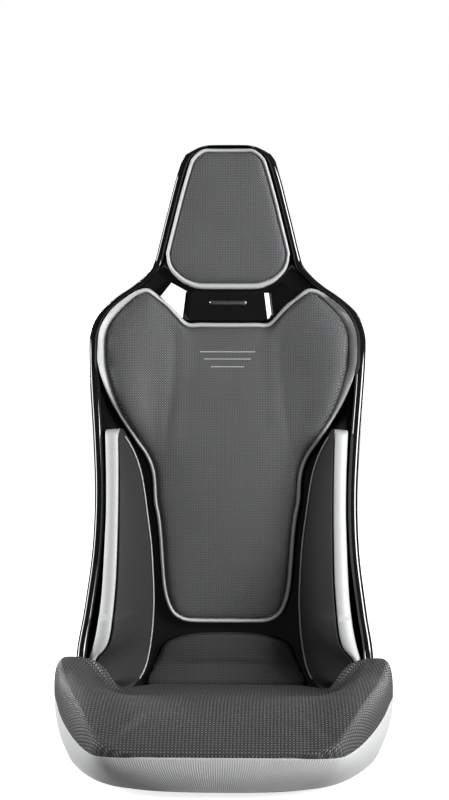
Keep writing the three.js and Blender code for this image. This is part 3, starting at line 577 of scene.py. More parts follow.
CLOTH = "cloth"               # mesh attribute: place on the flat cloth, in metres
SWELL_FRAMES = 20


def weave(n, pitch):
    """Thread height over the cloth, and which of the two threads lies on top."""
    axes = n.node("ShaderNodeSeparateXYZ")
    n.link(n.node("ShaderNodeAttribute", attribute_name=CLOTH).outputs["Vector"], axes.inputs[0])
    u, v = axes.outputs[0], axes.outputs[1]
    turn = math.pi / (pitch * MM)
    wobble = n.math("MULTIPLY", n.noise(60, 2), pitch * MM * 0.5)
    p = n.math("MULTIPLY", n.math("ADD", n.math("ADD", u, v), wobble), turn * 0.7071)
    q = n.math("MULTIPLY", n.math("SUBTRACT", n.math("SUBTRACT", u, v), wobble), turn * 0.7071)
    cell = n.math("MULTIPLY", n.math("SINE", p), n.math("SINE", q))
    height = n.math("POWER", n.math("ABSOLUTE", cell), 0.6)
    over = n.math("GREATER_THAN", cell, 0.0)
    return height, over


def woven(name, gap, thread_a, thread_b, pitch, shine=0.45, sheen=0.25, tint=0.01):
    n = Nodes(name)
    height, over = weave(n, pitch)
    tone = n.spread(n.noise(14, 3), 0.86, 1.12)
    thread = n.mix(over, grey(thread_a, tint), grey(thread_b, tint))
    colour = n.mix(n.spread(height, 0, 1, 0.25, 0.75), grey(gap), thread)
    bright = n.node("ShaderNodeVectorMath", operation="SCALE")
    n.link(colour, bright.inputs[0])
    n.link(tone, bright.inputs[3])
    n.set(
        Base_Color=bright.outputs[0],
        Roughness=n.spread(height, 0.85, shine),
        Specular_IOR_Level=0.55,
        Sheen_Weight=sheen,
        Sheen_Roughness=0.4,
    )
    n.bump(n.math("ADD", height, n.math("MULTIPLY", n.noise(900, 2), 0.25)), pitch * 0.16, 0.9)
    return n.material


def microfibre(name, level):
    n = Nodes(name)
    nap = n.noise(160, 4)
    fine = n.noise(1400, 2)
    n.set(
        Base_Color=n.mix(nap, grey(level * 0.82), grey(level * 1.25, 0.02)),
        Roughness=n.spread(fine, 0.6, 0.8),
        Specular_IOR_Level=0.4,
        Sheen_Weight=0.04,
        Sheen_Roughness=0.45,
    )
    n.bump(n.math("ADD", fine, n.math("MULTIPLY", nap, 0.5)), 0.25, 0.6)
    return n.material


def grained(name, level, tint=0.01, roughness=0.5):
    """Light border material: a fine pebbled grain with slightly darker valleys."""
    n = Nodes(name)
    cells = n.node("ShaderNodeTexVoronoi")
    cells.inputs["Scale"].default_value = 620
    n.link(n.place(), cells.inputs["Vector"])
    pebble = cells.outputs["Distance"]
    tone = n.noise(22, 3)
    n.set(
        Base_Color=n.mix(
            n.math("MULTIPLY", n.spread(pebble, 0.6, 1.0, 0.0, 0.7), n.spread(tone, 0.85, 1)),
            grey(level, tint), grey(level * 0.86, tint),
        ),
        Roughness=n.spread(tone, roughness - 0.06, roughness + 0.08),
        Sheen_Weight=0.1,
        Sheen_Roughness=0.5,
    )
    n.bump(pebble, 0.12, 0.5)
    return n.material


def ribbed_knit(name, level):
    n = Nodes(name)
    axes = n.node("ShaderNodeSeparateXYZ")
    n.link(n.place(), axes.inputs[0])
    rows = n.math("ABSOLUTE", n.math("SINE", n.math("MULTIPLY", axes.outputs[2], 2600)))
    fuzz = n.noise(700, 3)
    tone = n.noise(12, 3)
    n.set(
        Base_Color=n.mix(
            n.math("MULTIPLY", rows, n.spread(fuzz, 0.5, 1)),
            grey(level * 0.84, 0.015), grey(level * 1.05, 0.01),
        ),
        Roughness=n.spread(tone, 0.72, 0.9),
        Sheen_Weight=0.2,
        Sheen_Roughness=0.5,
    )
    n.bump(n.math("ADD", rows, fuzz), 0.25, 0.6)
    return n.material


def moulded(name, level, roughness=0.55):
    n = Nodes(name)
    grain = n.noise(480, 4)
    n.set(
        Base_Color=n.mix(n.noise(18, 3), grey(level), grey(level * 1.6, 0.02)),
        Roughness=n.spread(grain, roughness - 0.12, roughness + 0.12),
    )
    n.bump(grain, 0.2, 0.5)
    return n.material


def loop_tape():
    n = Nodes("loop_tape")
    loops = n.noise(1100, 2, (1, 1, 0.4))
    n.set(
        Base_Color=n.mix(loops, grey(0.004), grey(0.03)),
        Roughness=n.spread(loops, 0.8, 1.0),
        Sheen_Weight=0.3,
    )
    n.bump(loops, 0.9, 1.0)
    return n.material


def open_foam():
    n = Nodes("open_foam")
    cells = n.node("ShaderNodeTexVoronoi")
    cells.inputs["Scale"].default_value = 450
    n.link(n.place(), cells.inputs["Vector"])
    pores = cells.outputs["Distance"]
    n.set(
        Base_Color=n.mix(pores, grey(0.03, -0.1), grey(0.14, -0.12)),
        Roughness=n.spread(pores, 0.85, 1.0),
    )
    n.bump(pores, 0.8, 1.0)
    return n.material


def brushed(name, level, stretch, roughness=0.28):
    n = Nodes(name)
    streaks = n.noise(260, 4, stretch)
    n.set(
        Base_Color=n.mix(streaks, grey(level * 0.8), grey(level, 0.01)),
        Metallic=1.0,
        Roughness=n.spread(streaks, roughness - 0.08, roughness + 0.14),
    )
    n.bump(streaks, 0.04, 0.5)
    return n.material


GLOSS = gloss_black()
PAD_CLOTH = woven("pad_mesh_fabric", 0.02, 0.1, 0.145, 3.0, sheen=0.06, tint=0.035)
CUSHION_CLOTH = woven(
    "cushion_mesh_fabric", 0.004, 0.038, 0.115, 3.8, shine=0.42, sheen=0.02,
)
TAIL_CLOTH = woven("tail_mesh_fabric", 0.006, 0.035, 0.07, 3.0, shine=0.42, sheen=0.02)
SIDE_CLOTH = microfibre("side_microfibre", 0.018)
TRIM = grained("light_border", 0.56, 0.015)
PIPING = grained("light_piping", 0.5, 0.01, 0.4)
SKIRT_CLOTH = ribbed_knit("ribbed_skirt", 0.47)
THREAD = grained("light_thread", 0.55, 0.01, 0.45)
BOARD = moulded("carrier_board", 0.012)
TAPE = loop_tape()
FOAM = open_foam()
BADGE = brushed("badge_satin", 0.55, (0.08, 1, 1))
ZINC = brushed("zinc_plated", 0.5, (1, 1, 0.2), 0.35)


# ---- soft goods
def bake_modifiers(obj):
    """Applies obj's modifiers to its mesh."""
    graph = bpy.context.evaluated_depsgraph_get()
    mesh = bpy.data.meshes.new_from_object(obj.evaluated_get(graph))
    obj.modifiers.clear()
    obj.data = mesh
    mesh.shade_smooth()


def remesh(obj, voxel):
    modifier = obj.modifiers.new("remesh", "REMESH")
    modifier.mode = "VOXEL"
    modifier.voxel_size = voxel * MM
    bake_modifiers(obj)


def relax(obj, times, factor=0.5):
    modifier = obj.modifiers.new("relax", "SMOOTH")
    modifier.iterations = times
    modifier.factor = factor
    bake_modifiers(obj)


def carriers(tree, points, faces, place):
    """Corners, each with its weight, of the face nearest to a place."""
    near, _, face, _ = tree.find_nearest(place)
    corners = faces[face]
    return list(zip(corners, interpolate.poly_3d_calc([points[c] for c in corners], near)))


def swelling(obj, hold, voxel, pressure):
    """Rest and swollen vertices, and faces, of an even copy of a pad under pressure.

    The copy is cloth, held where hold(x, y, z), in millimetres, nears 1.
    """
    copy = bpy.data.objects.new(f"{obj.name}_sim", obj.data.copy())
    bpy.context.scene.collection.objects.link(copy)
    remesh(copy, voxel)
    relax(copy, 4)
    mesh = copy.data
    rest = [v.co.copy() for v in mesh.vertices]
    faces = [tuple(p.vertices) for p in mesh.polygons]
    group = copy.vertex_groups.new(name="hold")
    for v in mesh.vertices:
        weight = hold(v.co.x / MM, v.co.y / MM - SHIFT_Y, v.co.z / MM)
        group.add([v.index], clamp(weight), "REPLACE")
    cloth = copy.modifiers.new("cloth", "CLOTH")
    cloth.settings.quality = 4
    cloth.settings.mass = 0.3
    cloth.settings.tension_stiffness = 12
    cloth.settings.compression_stiffness = 12
    cloth.settings.bending_stiffness = 0.6
    cloth.settings.use_pressure = True
    cloth.settings.uniform_pressure_force = pressure
    cloth.settings.vertex_group_mass = "hold"
    cloth.settings.effector_weights.gravity = 0
    cloth.collision_settings.use_collision = False
    cloth.point_cache.frame_start = 1
    cloth.point_cache.frame_end = SWELL_FRAMES
    for number in range(1, SWELL_FRAMES + 1):
        bpy.context.scene.frame_set(number)
    graph = bpy.context.evaluated_depsgraph_get()
    swollen = [v.co.copy() for v in copy.evaluated_get(graph).data.vertices]
    bpy.context.scene.frame_set(1)
    bpy.data.objects.remove(copy)
    return rest, swollen, faces


def inflate(obj, hold, cap, voxel=5.0, pressure=4.0, finer=False):
    """Lets cloth pressure swell a pad, each point by at most cap, and softens its edges.
    """
    rest, swollen, faces = swelling(obj, hold, voxel, pressure)
    tree = BVHTree.FromPolygons(rest, faces)
    for v in obj.data.vertices:
        held = carriers(tree, rest, faces, v.co)
        move = sum(((swollen[c] - rest[c]) * k for c, k in held), Vector())
        if move.length > cap * MM:
            move *= cap * MM / move.length
        v.co += move
    relax(obj, 2, 0.4)
    if finer:
        smooth = obj.modifiers.new("finer", "SUBSURF")
        smooth.levels = smooth.render_levels = 1
        bake_modifiers(obj)


def lay_cloth(obj, grid):
    """Stores each vertex's place on the flat cloth, from a grid of rows and columns.

    Along a row the place is the length from the row's middle, and across the rows it is
    the length down the middle column.
    """
    rows, cols = len(grid), len(grid[0])
    middle = cols // 2
    laid, run = [], 0.0
    for i, row in enumerate(grid):
        if i:
            run += math.dist(grid[i - 1][middle], row[middle])
        lengths = [0.0]
        for a, b in zip(row, row[1:]):
            lengths.append(lengths[-1] + math.dist(a, b))
        laid += [(length - lengths[middle], run) for length in lengths]
    points = [Vector((x * MM, (y + SHIFT_Y) * MM, z * MM)) for row in grid for x, y, z in row]
    faces = grid_faces(rows, cols)
    tree = BVHTree.FromPolygons(points, faces)
    place = obj.data.attributes.new(CLOTH, "FLOAT_VECTOR", "POINT")
    for n, v in enumerate(obj.data.vertices):
        held = carriers(tree, points, faces, v.co)
        u, w = (sum(k * laid[c][axis] for c, k in held) for axis in (0, 1))
        place.data[n].vector = (u * MM, w * MM, 0)


def front_of(obj):
    """Depth, in millimetres, of a piece's front surface at x, z, or None off the piece."""
    tree = BVHTree.FromPolygons(
        [v.co for v in obj.data.vertices], [tuple(p.vertices) for p in obj.data.polygons],
    )

    def depth(x, z):
        hit = tree.ray_cast(Vector((x * MM, -2, z * MM)), Vector((0, 1, 0)))[0]
        return None if hit is None else hit.y / MM - SHIFT_Y

    return depth


def crowned_pad(outline, hub, thick, roll_power, form=None):
    """A pad over an outline: full depth in the middle and rolled over at its edge."""
    shares = [math.sin(n / 40 * math.pi / 2) for n in range(41)]

    def front(x, z, share):
        roll = max(0.0, 1 - share ** roll_power) ** 0.5
        extra = form(x, z) * roll if form else 0
        return rest_y(x, z) - lerp(0.4, 1, roll) * thick - extra

    return hub_form(outline, hub, shares, front, rest_y)


def border_band(outer, inner, proud):
    """A padded light band between two outlines, rounded in section."""
    count = 10
    front, back = [], []
    for n in range(count + 1):
        share = n / count
        arch = 0.42 + 0.58 * math.sin(math.pi * lerp(0.04, 0.96, share)) ** 0.6
        front.append([
            (lerp(i[0], o[0], share), 0, lerp(i[1], o[1], share)) for i, o in zip(inner, outer)
        ])
        back.append([(x, rest_y(x, z), z) for x, _, z in front[-1]])
        front[-1] = [(x, y - proud * arch, z) for x, y, z in back[-1]]
    return slab(front, back, wrap=True)


def closeness(outline):
    """Distance to the nearest point of an outline, for holding a pad at its edge."""
    points = outline[::2]

    def away(x, z):
        return min(math.hypot(x - a, z - b) for a, b in points)

    return away


# ---- shell and bridge
def build_shell():
    return make_object("shell", *shell_mesh(), GLOSS, "shell", ("bucket_shell",))


def bridge_y(x, z):
    return back_depth(x, z) - BRIDGE_PROUD


def build_bridge():
    """The plate between head and back pad, with a broad bevel at each end."""
    foot, top = NECKLINE_Z + EDGE_GAP, HEAD_PAD_FOOT_Z - EDGE_GAP
    bevel, drop, corner = 7.5, 4.0, 4.0
    front, back = [], []
    rows = 30
    for i in range(rows + 1):
        t = 0.5 - 0.5 * math.cos(math.pi * i / rows)
        z = lerp(foot, top, t)
        edge = min(z - foot, top - z)
        round_off = corner - math.sqrt(max(0.0, corner ** 2 - max(0.0, corner - edge) ** 2))
        half = lerp(BRIDGE_HALF, BRIDGE_TOP_HALF, t) - round_off
        lip = 1.6 * (1 - min(1.0, edge / 2.2)) ** 2
        inner = half - bevel
        places = [inner * k / 16 for k in range(17)]
        places += [lerp(inner, half, k / 6) for k in range(1, 7)]
        row = []
        for x in places:
            down = drop * max(0.0, x - inner) / bevel
            row.append((x, bridge_y(x, z) + min(down + lip, BRIDGE_PROUD - 1.5), z))
        whole = [(-x, y, z) for x, y, z in row[:0:-1]] + row
        front.append(whole)
        back.append([(x, back_depth(x, z) - 0.4, z) for x, _, _ in whole])
    plate = make_object("bridge", *slab(front, back), GLOSS, "shell", ("bridge_plate",))
    plate.data.set_sharp_from_angle(angle=math.radians(24))


def build_gusset(side, sign):
    """The sloping floor of the recess beside the bridge plate."""
    rows, cols, slope = 12, 16, math.tan(math.radians(26))
    front, back = [], []
    for i in range(rows + 1):
        v = i / rows
        inner = (
            lerp(BRIDGE_HALF, BRIDGE_TOP_HALF + 1.5, v),
            lerp(NECKLINE_Z + 5.5, HEAD_PAD_FOOT_Z - 4.5, v),
        )
        outer = (
            lerp(RECESS_FOOT_HALF, RECESS_TOP_HALF, v), lerp(RECESS_FOOT_Z, RECESS_TOP_Z, v),
        )
        row, rest = [], []
        for j in range(cols + 1):
            t = j / cols
            x, z = lerp(inner[0], outer[0], t), lerp(inner[1], outer[1], t)
            base = back_depth(x, z)
            row.append((sign * x, base - 1.2 - (x - inner[0]) * slope, z))
            rest.append((sign * x, base - 0.3, z))
        front.append(row)
        back.append(rest)
    piece = make_object(f"recess_floor_{side}", *slab(front, back), GLOSS, "shell")
    piece.data.set_sharp_from_angle(angle=math.radians(24))


def build_badge():
    """A plain satin bar."""
    middle, half, high = lerp(NECKLINE_Z, HEAD_PAD_FOOT_Z, 0.6), 31, 3
    outline = []
    for n in range(48):
        a = 2 * math.pi * n / 48
        reach = half - high if math.cos(a) >= 0 else high - half
        outline.append((reach + high * math.cos(a), middle + high * math.sin(a)))
    outline = outline[::-1]

    def front(x, z, share):
        return bridge_y(x, z) - lerp(0.5, 1.3, max(0.0, 1 - share ** 8) ** 0.5)

    shares = [0, 0.3, 0.6, 0.8, 0.9, 0.96, 1]
    form = hub_form(outline, (0, middle), shares, front, lambda x, z: bridge_y(x, z) + 0.1)
    make_object("badge", *form, BADGE, "badge", ("badge_bar",))


# ---- head pad
HEAD_FOOT_CURVE = (
    (1, 0.235), (0.985, 0.185), (0.925, 0.125), (0.785, 0.06), (0.645, 0.025), (0.5, 0.004),
    (0.25, 0), (0, 0),
)


def head_outline():
    top = HEAD_TOP_Z - HEAD_PAD_TOP_GAP
    knee_z = lerp(HEAD_PAD_FOOT_Z, top, 0.27)

    def side(z):
        return (half_width(z) - RIM_WIDTH - 1, z)

    knee_x = side(knee_z)[0]
    return [
        (0, top), (HEAD_TOP_HALF * 0.5, top), (HEAD_TOP_HALF * 0.86, top - 0.4),
        (HEAD_TOP_HALF * 1.08, top - 5.4), (lerp(HEAD_TOP_HALF, HEAD_HALF, 0.36), top - 14.3),
        side(HEAD_CORNER_Z), side(lerp(knee_z, HEAD_CORNER_Z, 0.66)),
        side(lerp(knee_z, HEAD_CORNER_Z, 0.33)), (knee_x, knee_z),
        *((knee_x * w, lerp(HEAD_PAD_FOOT_Z, top, h)) for w, h in HEAD_FOOT_CURVE),
    ]


def head_width(x, z):
    return lerp(HEAD_TRIM_FOOT, HEAD_TRIM, clamp((z - HEAD_PAD_FOOT_Z) / 45))


def build_pad(name, node, outer, width, hub, thick, power, material, voxel, cap, form=None):
    """A pad with its cloth simulated, and the light band round it."""
    inner = inset(outer, width)
    cover = inset(outer, lambda x, z: width(x, z) + 0.5)
    faces = crowned_pad(cover, hub, thick, power, form)
    pad = make_object(name, *faces, material, "pad_fabric", (node,))
    away = closeness(cover)

    def hold(x, y, z):
        at_back = 1 - clamp((rest_y(x, z) - y - 2) / 6)
        at_edge = 1 - clamp((away(x, z) - 4) / 16)
        return max(at_back, at_edge)

    inflate(pad, hold, cap, voxel)
    xs = [x for x, _ in cover]
    zs = [z for _, z in cover]
    across = [lerp(min(xs), max(xs), k / 24) for k in range(25)]
    up = [lerp(min(zs), max(zs), k / 40) for k in range(41)]
    lay_cloth(pad, [[(x, rest_y(x, z) - thick, z) for x in across] for z in up])
    band = make_object(
        f"{name}_border", *border_band(outer, inner, TRIM_PROUD + 5), TRIM, "trim",
        (f"{node}_border",),
    )
    return pad


def build_head():
    outer = closed_outline(head_outline(), 220)
    hub = (0, lerp(HEAD_PAD_FOOT_Z, HEAD_TOP_Z, 0.45))
    return build_pad(
        "head_cushion", "head_pad", outer, head_width, hub, HEAD_PAD_THICK - 3, 7,
        PAD_CLOTH, 3.5, 5,
    )


# ---- back pad
BACK_FLANK = (  # shares of WAIST_HALF, and of the height from waist to shoulder
    (0.812, 0.49), (0.705, 0.348), (0.64, 0.267), (0.597, 0.187), (0.575, 0.1),
)
BACK_LOWER = (  # the same from the pad's foot to the waist
    (0.564, 0.944), (0.542, 0.83), (0.524, 0.68), (0.509, 0.47), (0.493, 0.29), (0.466, 0.165),
    (0.423, 0.075), (0.369, 0.031), (0.292, 0.005), (0.135, 0), (0, 0),
)


def back_outline():
    def rim(z, gap=0.0):
        return (half_width(z) - RIM_WIDTH - gap, z)

    apex, waist, foot = lerp(SHOULDER_Z, NECK_Z, 0.74), WAIST_Z, BACK_PAD_FOOT_Z
    return [
        (0, NECKLINE_Z), (BRIDGE_HALF * 0.62, NECKLINE_Z + 0.3),
        (BRIDGE_HALF - 6.5, NECKLINE_Z + 0.6), (BRIDGE_HALF + 9.5, NECKLINE_Z + 16),
        (BRIDGE_HALF + 24.5, NECKLINE_Z + 32), (SHOULDER_HALF * 0.51, apex - 11),
        (SHOULDER_HALF * 0.579, apex), (SHOULDER_HALF * 0.652, apex - 2.5),
        *(rim(lerp(SHOULDER_Z, NECK_Z, t)) for t in (0.63, 0.47, 0.29, 0.12)),
        rim(SHOULDER_Z - 7), rim(SHOULDER_Z - 30), rim(SHOULDER_Z - 58, 4.5),
        rim(SHOULDER_Z - 91, 15),
        *((WAIST_HALF * w, lerp(waist, SHOULDER_Z, t)) for w, t in BACK_FLANK),
        *((WAIST_HALF * w, lerp(foot, waist, t)) for w, t in BACK_LOWER),
    ]


def back_width(x, z):
    low = clamp((z - (SHOULDER_Z - 120)) / 60)
    out = clamp((abs(x) - 150) / 40)
    return lerp(BACK_TRIM, BACK_TRIM_SHOULDER, low * out)


def back_form(x, z):
    """The shoulder wings stand forward of the middle panel."""
    return WING_PROUD * (ease(abs(x), 84, 180) * ease(z, 430, 560))


def build_back():
    outer = closed_outline(back_outline(), 340)
    hub = (0, lerp(BACK_PAD_FOOT_Z, NECKLINE_Z, 0.73))
    return build_pad(
        "back_cushion", "back_pad", outer, back_width, hub, BACK_PAD_THICK - 5, 9,
        PAD_CLOTH, 4.5, 5, back_form,
    )


def build_stitch_lines(depth):
    """Three tapering rows of embroidery under the neckline, stitch by stitch."""
    points, faces = [], []
    for z, half in ((620, 46), (608.2, 39), (595.5, 27.5)):
        count = round(2 * half / 3.4)
        for n in range(count):
            x0 = lerp(-half, half, (n + 0.08) / count)
            x1 = lerp(-half, half, (n + 0.92) / count)
            path = []
            for k in range(5):
                x = lerp(x0, x1, k / 4)
                y = depth(x, z)
                if y is None:
                    break
                path.append((x, y - 0.75 * math.sin(math.pi * k / 4) + 0.1, z))
            if len(path) == 5:
                stitch, sides = tube(path, 0.85, 6)
                faces += [tuple(len(points) + v for v in face) for face in sides]
                points += stitch
    make_object("stitch_lines", points, faces, THREAD, "trim")


# ---- side pads
SIDE_TOP_Z = 494
FACE_ROWS = (  # height, inner edge, outer edge
    (70, 166, 176), (72, 158, 183), (76, 150, 189), (82, 144.5, 196), (92, 137, 203),
    (105, 131.5, 207.5), (120, 128, 210), (131, 126, 208.5), (140, 124.5, 203),
    (149, 123.5, 194), (160, 122, 187.5), (178, 120.8, 183), (211, 119.5, 179.5),
    (256, 121, 176.2), (305, 124.3, 175), (356, 131, 174.5), (392, 136, 174.7),
    (421, 141.5, 175), (450, 151, 175.6), (473, 162, 176.4), (488, 171, 177),
    (SIDE_TOP_Z, 174.5, 177.4),
)
BAND_OUTER_ROWS = (
    (100, 212), (112, 217), (125, 219), (136, 219), (149, 214.5), (180, 207.5), (224, 201.8),
    (269, 199), (325, 197), (370, 196), (430, 197.3), (480, 199.6), (SIDE_TOP_Z, 200.2),
)
RIDGE_LOW = ((70, 27), (100, 18), (130, 8), (165, 4), (200, 9))
RIDGE_PROUD, SIDE_GAP = 15, 4


def ridge_y(z):
    return along(RIDGE_LOW, z) if z < 200 else spine_y(z) - wing_depth(z) - RIDGE_PROUD


def side_rest(x, z):
    return min(back_depth(x, h) for h in (z - 6, z, z + 6)) - SIDE_GAP


def side_rows(low, step):
    count = round((SIDE_TOP_Z - low) / step)
    return [low + (SIDE_TOP_Z - low) * n / count for n in range(count + 1)]


def build_side_pad(side, sign):
    front, back = [], []
    for z in side_rows(70, 5):
        inner, outer = along(FACE_ROWS, z, 1), along(FACE_ROWS, z, 2)
        end = ease(z, 66, 92) * (1 - ease(z, 486, 497) * 0.6)
        edge = side_rest(inner, z) - 8
        ridge = lerp(edge + 6, ridge_y(z), max(0.25, end))
        row, rest = [], []
        for k in range(25):
            t = k / 24
            x = lerp(inner, outer, t)
            swell = 9 * math.sin(math.pi * t ** 0.8) * clamp((outer - inner) / 45) * end
            lean = ease(t, 0, 1) * 0.35 + t * 0.65
            y = min(lerp(edge, ridge, lean) - swell, side_rest(x, z) - 4)
            row.append((sign * x, y, z))
            rest.append((sign * x, side_rest(x, z), z))
        front.append(row)
        back.append(rest)
    node = f"side_pad_{side}"
    pad = make_object(f"side_cushion_{side}", *slab(front, back), SIDE_CLOTH, "side_fabric", (node,))

    def hold(x, y, z):
        x = abs(x)
        outer = along(FACE_ROWS, z, 2)
        at_back = 1 - clamp((side_rest(x, z) - y - 2) / 6)
        return max(at_back, 1 - clamp((outer - x - 2) / 10))

    inflate(pad, hold, 4, 4.5, finer=True)
    build_side_band(side, sign)
    build_side_piping(side, sign, front_of(pad))


def build_side_band(side, sign):
    front, back = [], []
    for z in side_rows(104, 4):
        inner, outer = along(FACE_ROWS, z, 2) + 0.3, along(BAND_OUTER_ROWS, z)
        outer = max(outer, inner + 3)
        end = 1 - ease(z, 487, 496) * 0.5
        row, rest = [], []
        for k in range(13):
            t = k / 12
            x = lerp(inner, outer, t)
            arch = math.sin(math.pi * lerp(0.08, 0.94, t)) ** 0.55
            fall = 9 * (1 - arch) + 3 * t
            y = ridge_y(z) - 1.5 + fall + 10 * (1 - end)
            row.append((sign * x, min(y, side_rest(x, z) - 3), z))
            rest.append((sign * x, side_rest(x, z), z))
        front.append(row)
        back.append(rest)
    node = f"side_band_{side}"
    band = make_object(f"side_trim_{side}", *slab(front, back), TRIM, "trim", (node,))
    soft = band.modifiers.new("soften", "SUBSURF")
    soft.levels = soft.render_levels = 1
    bake_modifiers(band)


def build_side_piping(side, sign, depth):
    path = []
    for z in side_rows(82, 4):
        if z > SIDE_TOP_Z - 8:
            break
        x = along(FACE_ROWS, z, 1)
        found = [depth(sign * (x + d), z) for d in (4, 6)]
        y = found[0] or found[1] or side_rest(x, z) - 8
        path.append((sign * (x + 1.2), y + 2.6, z))
    smooth = []
    for i in range(len(path)):
        near = path[max(0, i - 2):i + 3]
        smooth.append(tuple(sum(q[c] for q in near) / len(near) for c in range(3)))
    make_object(
        f"side_welt_{side}", *tube(smooth, 1.25, 10), PIPING, "trim", (f"side_piping_{side}",),
    )


# ---- seat cushion
EAR_OUTLINE = (  # y, half-width as a share of CUSHION_HALF
    (CUSHION_FRONT_Y, 0.42), (CUSHION_FRONT_Y + 4, 0.58), (CUSHION_FRONT_Y + 12, 0.665),
    (-316, 0.71), (-275, 0.785), (-214, 0.866), (-150, 0.933), (-92, 0.978), (-62, 1),
    (-44, 0.99), (-32, 0.955),
)
INNER_OUTLINE = (  # the same as a share of HIP_HALF, between the shell's walls
    (-20, 0.886), (-2, 0.813), (20, 0.723), (40, 0.628), (62, 0.561), (80, 0.521),
)
OUTLINE_ROWS = (
    *((y, CUSHION_HALF * share) for y, share in EAR_OUTLINE),
    *((y, HIP_HALF * share) for y, share in INNER_OUTLINE),
)
MID_ROWS = (
    (CUSHION_FRONT_Y, SEAM_FRONT_Z + 4), (CUSHION_FRONT_Y + 9, 79), (CUSHION_FRONT_Y + 25, 90),
    (-292, 99), (-255, 105), (-190, 107), (-100, 99), (0, 88), (60, 82), (CUSHION_REAR_Y, 79),
)
EAR_ROWS = (
    (CUSHION_FRONT_Y, 0), (-300, 0.02), (-250, 0.14), (-200, 0.3), (-150, 0.47), (-100, 0.68),
    (-66, 0.9), (-42, 1), (-31, 0.98), (-20, 0.84), (-2, 0.3), (20, 0.05), (40, 0),
    (CUSHION_REAR_Y, 0),
)
RIM_ROWS = [(cy, half) for _, _, cy, _, half in STATIONS[PAN_START - 6:]][::-1]


def outline_half(y):
    return along(OUTLINE_ROWS, y)


def seam_z(y):
    return lerp(SEAM_FRONT_Z, SEAM_REAR_Z, clamp((y + 320) / 290) ** 1.3)


def cushion_top(x, y):
    start = lerp(EAR_START_FRONT, EAR_START_REAR, clamp((y + 170) / 110))
    ridge = outline_half(y) - 20
    t = clamp((abs(x) - start) / max(30, ridge - start))
    return along(MID_ROWS, y) + EAR_RISE * along(EAR_ROWS, y) * t * t * (3 - 2 * t)


def cushion_under(x, y):
    near = max(pan_height(x + 5, y + d) for d in (-8, 0, 8))
    base = seam_z(y) + 1 if y < PAN_FRONT_Y - 8 else CUSHION_BASE_Z
    return max(base, near + 4)


def cushion_section(y):
    half = outline_half(y)
    shoulder = half - 12
    top = []
    for n in range(25):
        x = shoulder * math.sin(n / 24 * math.pi / 2) ** 0.8
        top.append((x, cushion_top(x, y)))
    crown = top[-1][1]
    rim = along(RIM_ROWS, y)
    wall = rim - RIM_WIDTH
    over_rim = rim - RIM_WIDTH / 2 if half > wall - 14 else half - 5
    rest = max(seam_z(y), cushion_under(over_rim, y)) if half < rim + 16 else seam_z(y)
    low = min(rest, crown - 4)
    for out, down in ((8, 0.03), (4.5, 0.12), (2.2, 0.28), (0.8, 0.48), (0.1, 0.72), (0, 1)):
        top.append((half - out, lerp(crown, low, down)))
    fit = min(1, (half - 12) / (rim + 4))
    reach = min(1, fit / 0.92)
    end = (rim + 4) * fit
    last = cushion_under(min(end, (rim + 4) * reach), y)
    under = []
    for n in range(25):
        x = end * n / 24
        z = cushion_under(x / max(fit, 0.01) * reach, y)
        under.append((x, min(z, crown - 4)))
    for across, up in ((0.2, 0.1), (0.4, 0.25), (0.62, 0.5), (0.8, 0.75), (0.93, 0.92), (1, 1)):
        under.append((lerp(end, half - 0.4, across), min(lerp(last, low, up), crown - 4)))
    return top, under


def build_cushion():
    grids = [[], []]
    count = 66
    for n in range(count + 1):
        y = lerp(CUSHION_FRONT_Y + 1, CUSHION_REAR_Y, (n / count) ** 1.3)
        for grid, half in zip(grids, cushion_section(y)):
            grid.append([(-x, y, z) for x, z in half[:0:-1]] + [(x, y, z) for x, z in half])
    cushion = make_object(
        "seat_cushion", *slab(*grids), CUSHION_CLOTH, "cushion_fabric", ("cushion_cover",),
    )

    def hold(x, y, z):
        low = 1 - clamp((z - seam_z(y) - 2) / 14)
        rear = clamp((y - 40) / 30)
        behind = clamp((y + 30) / 20) * clamp((abs(x) - 150) / 20)
        return max(low, rear, behind)

    inflate(cushion, hold, 6, 6.0, finer=True)
    lay_cloth(cushion, grids[0])


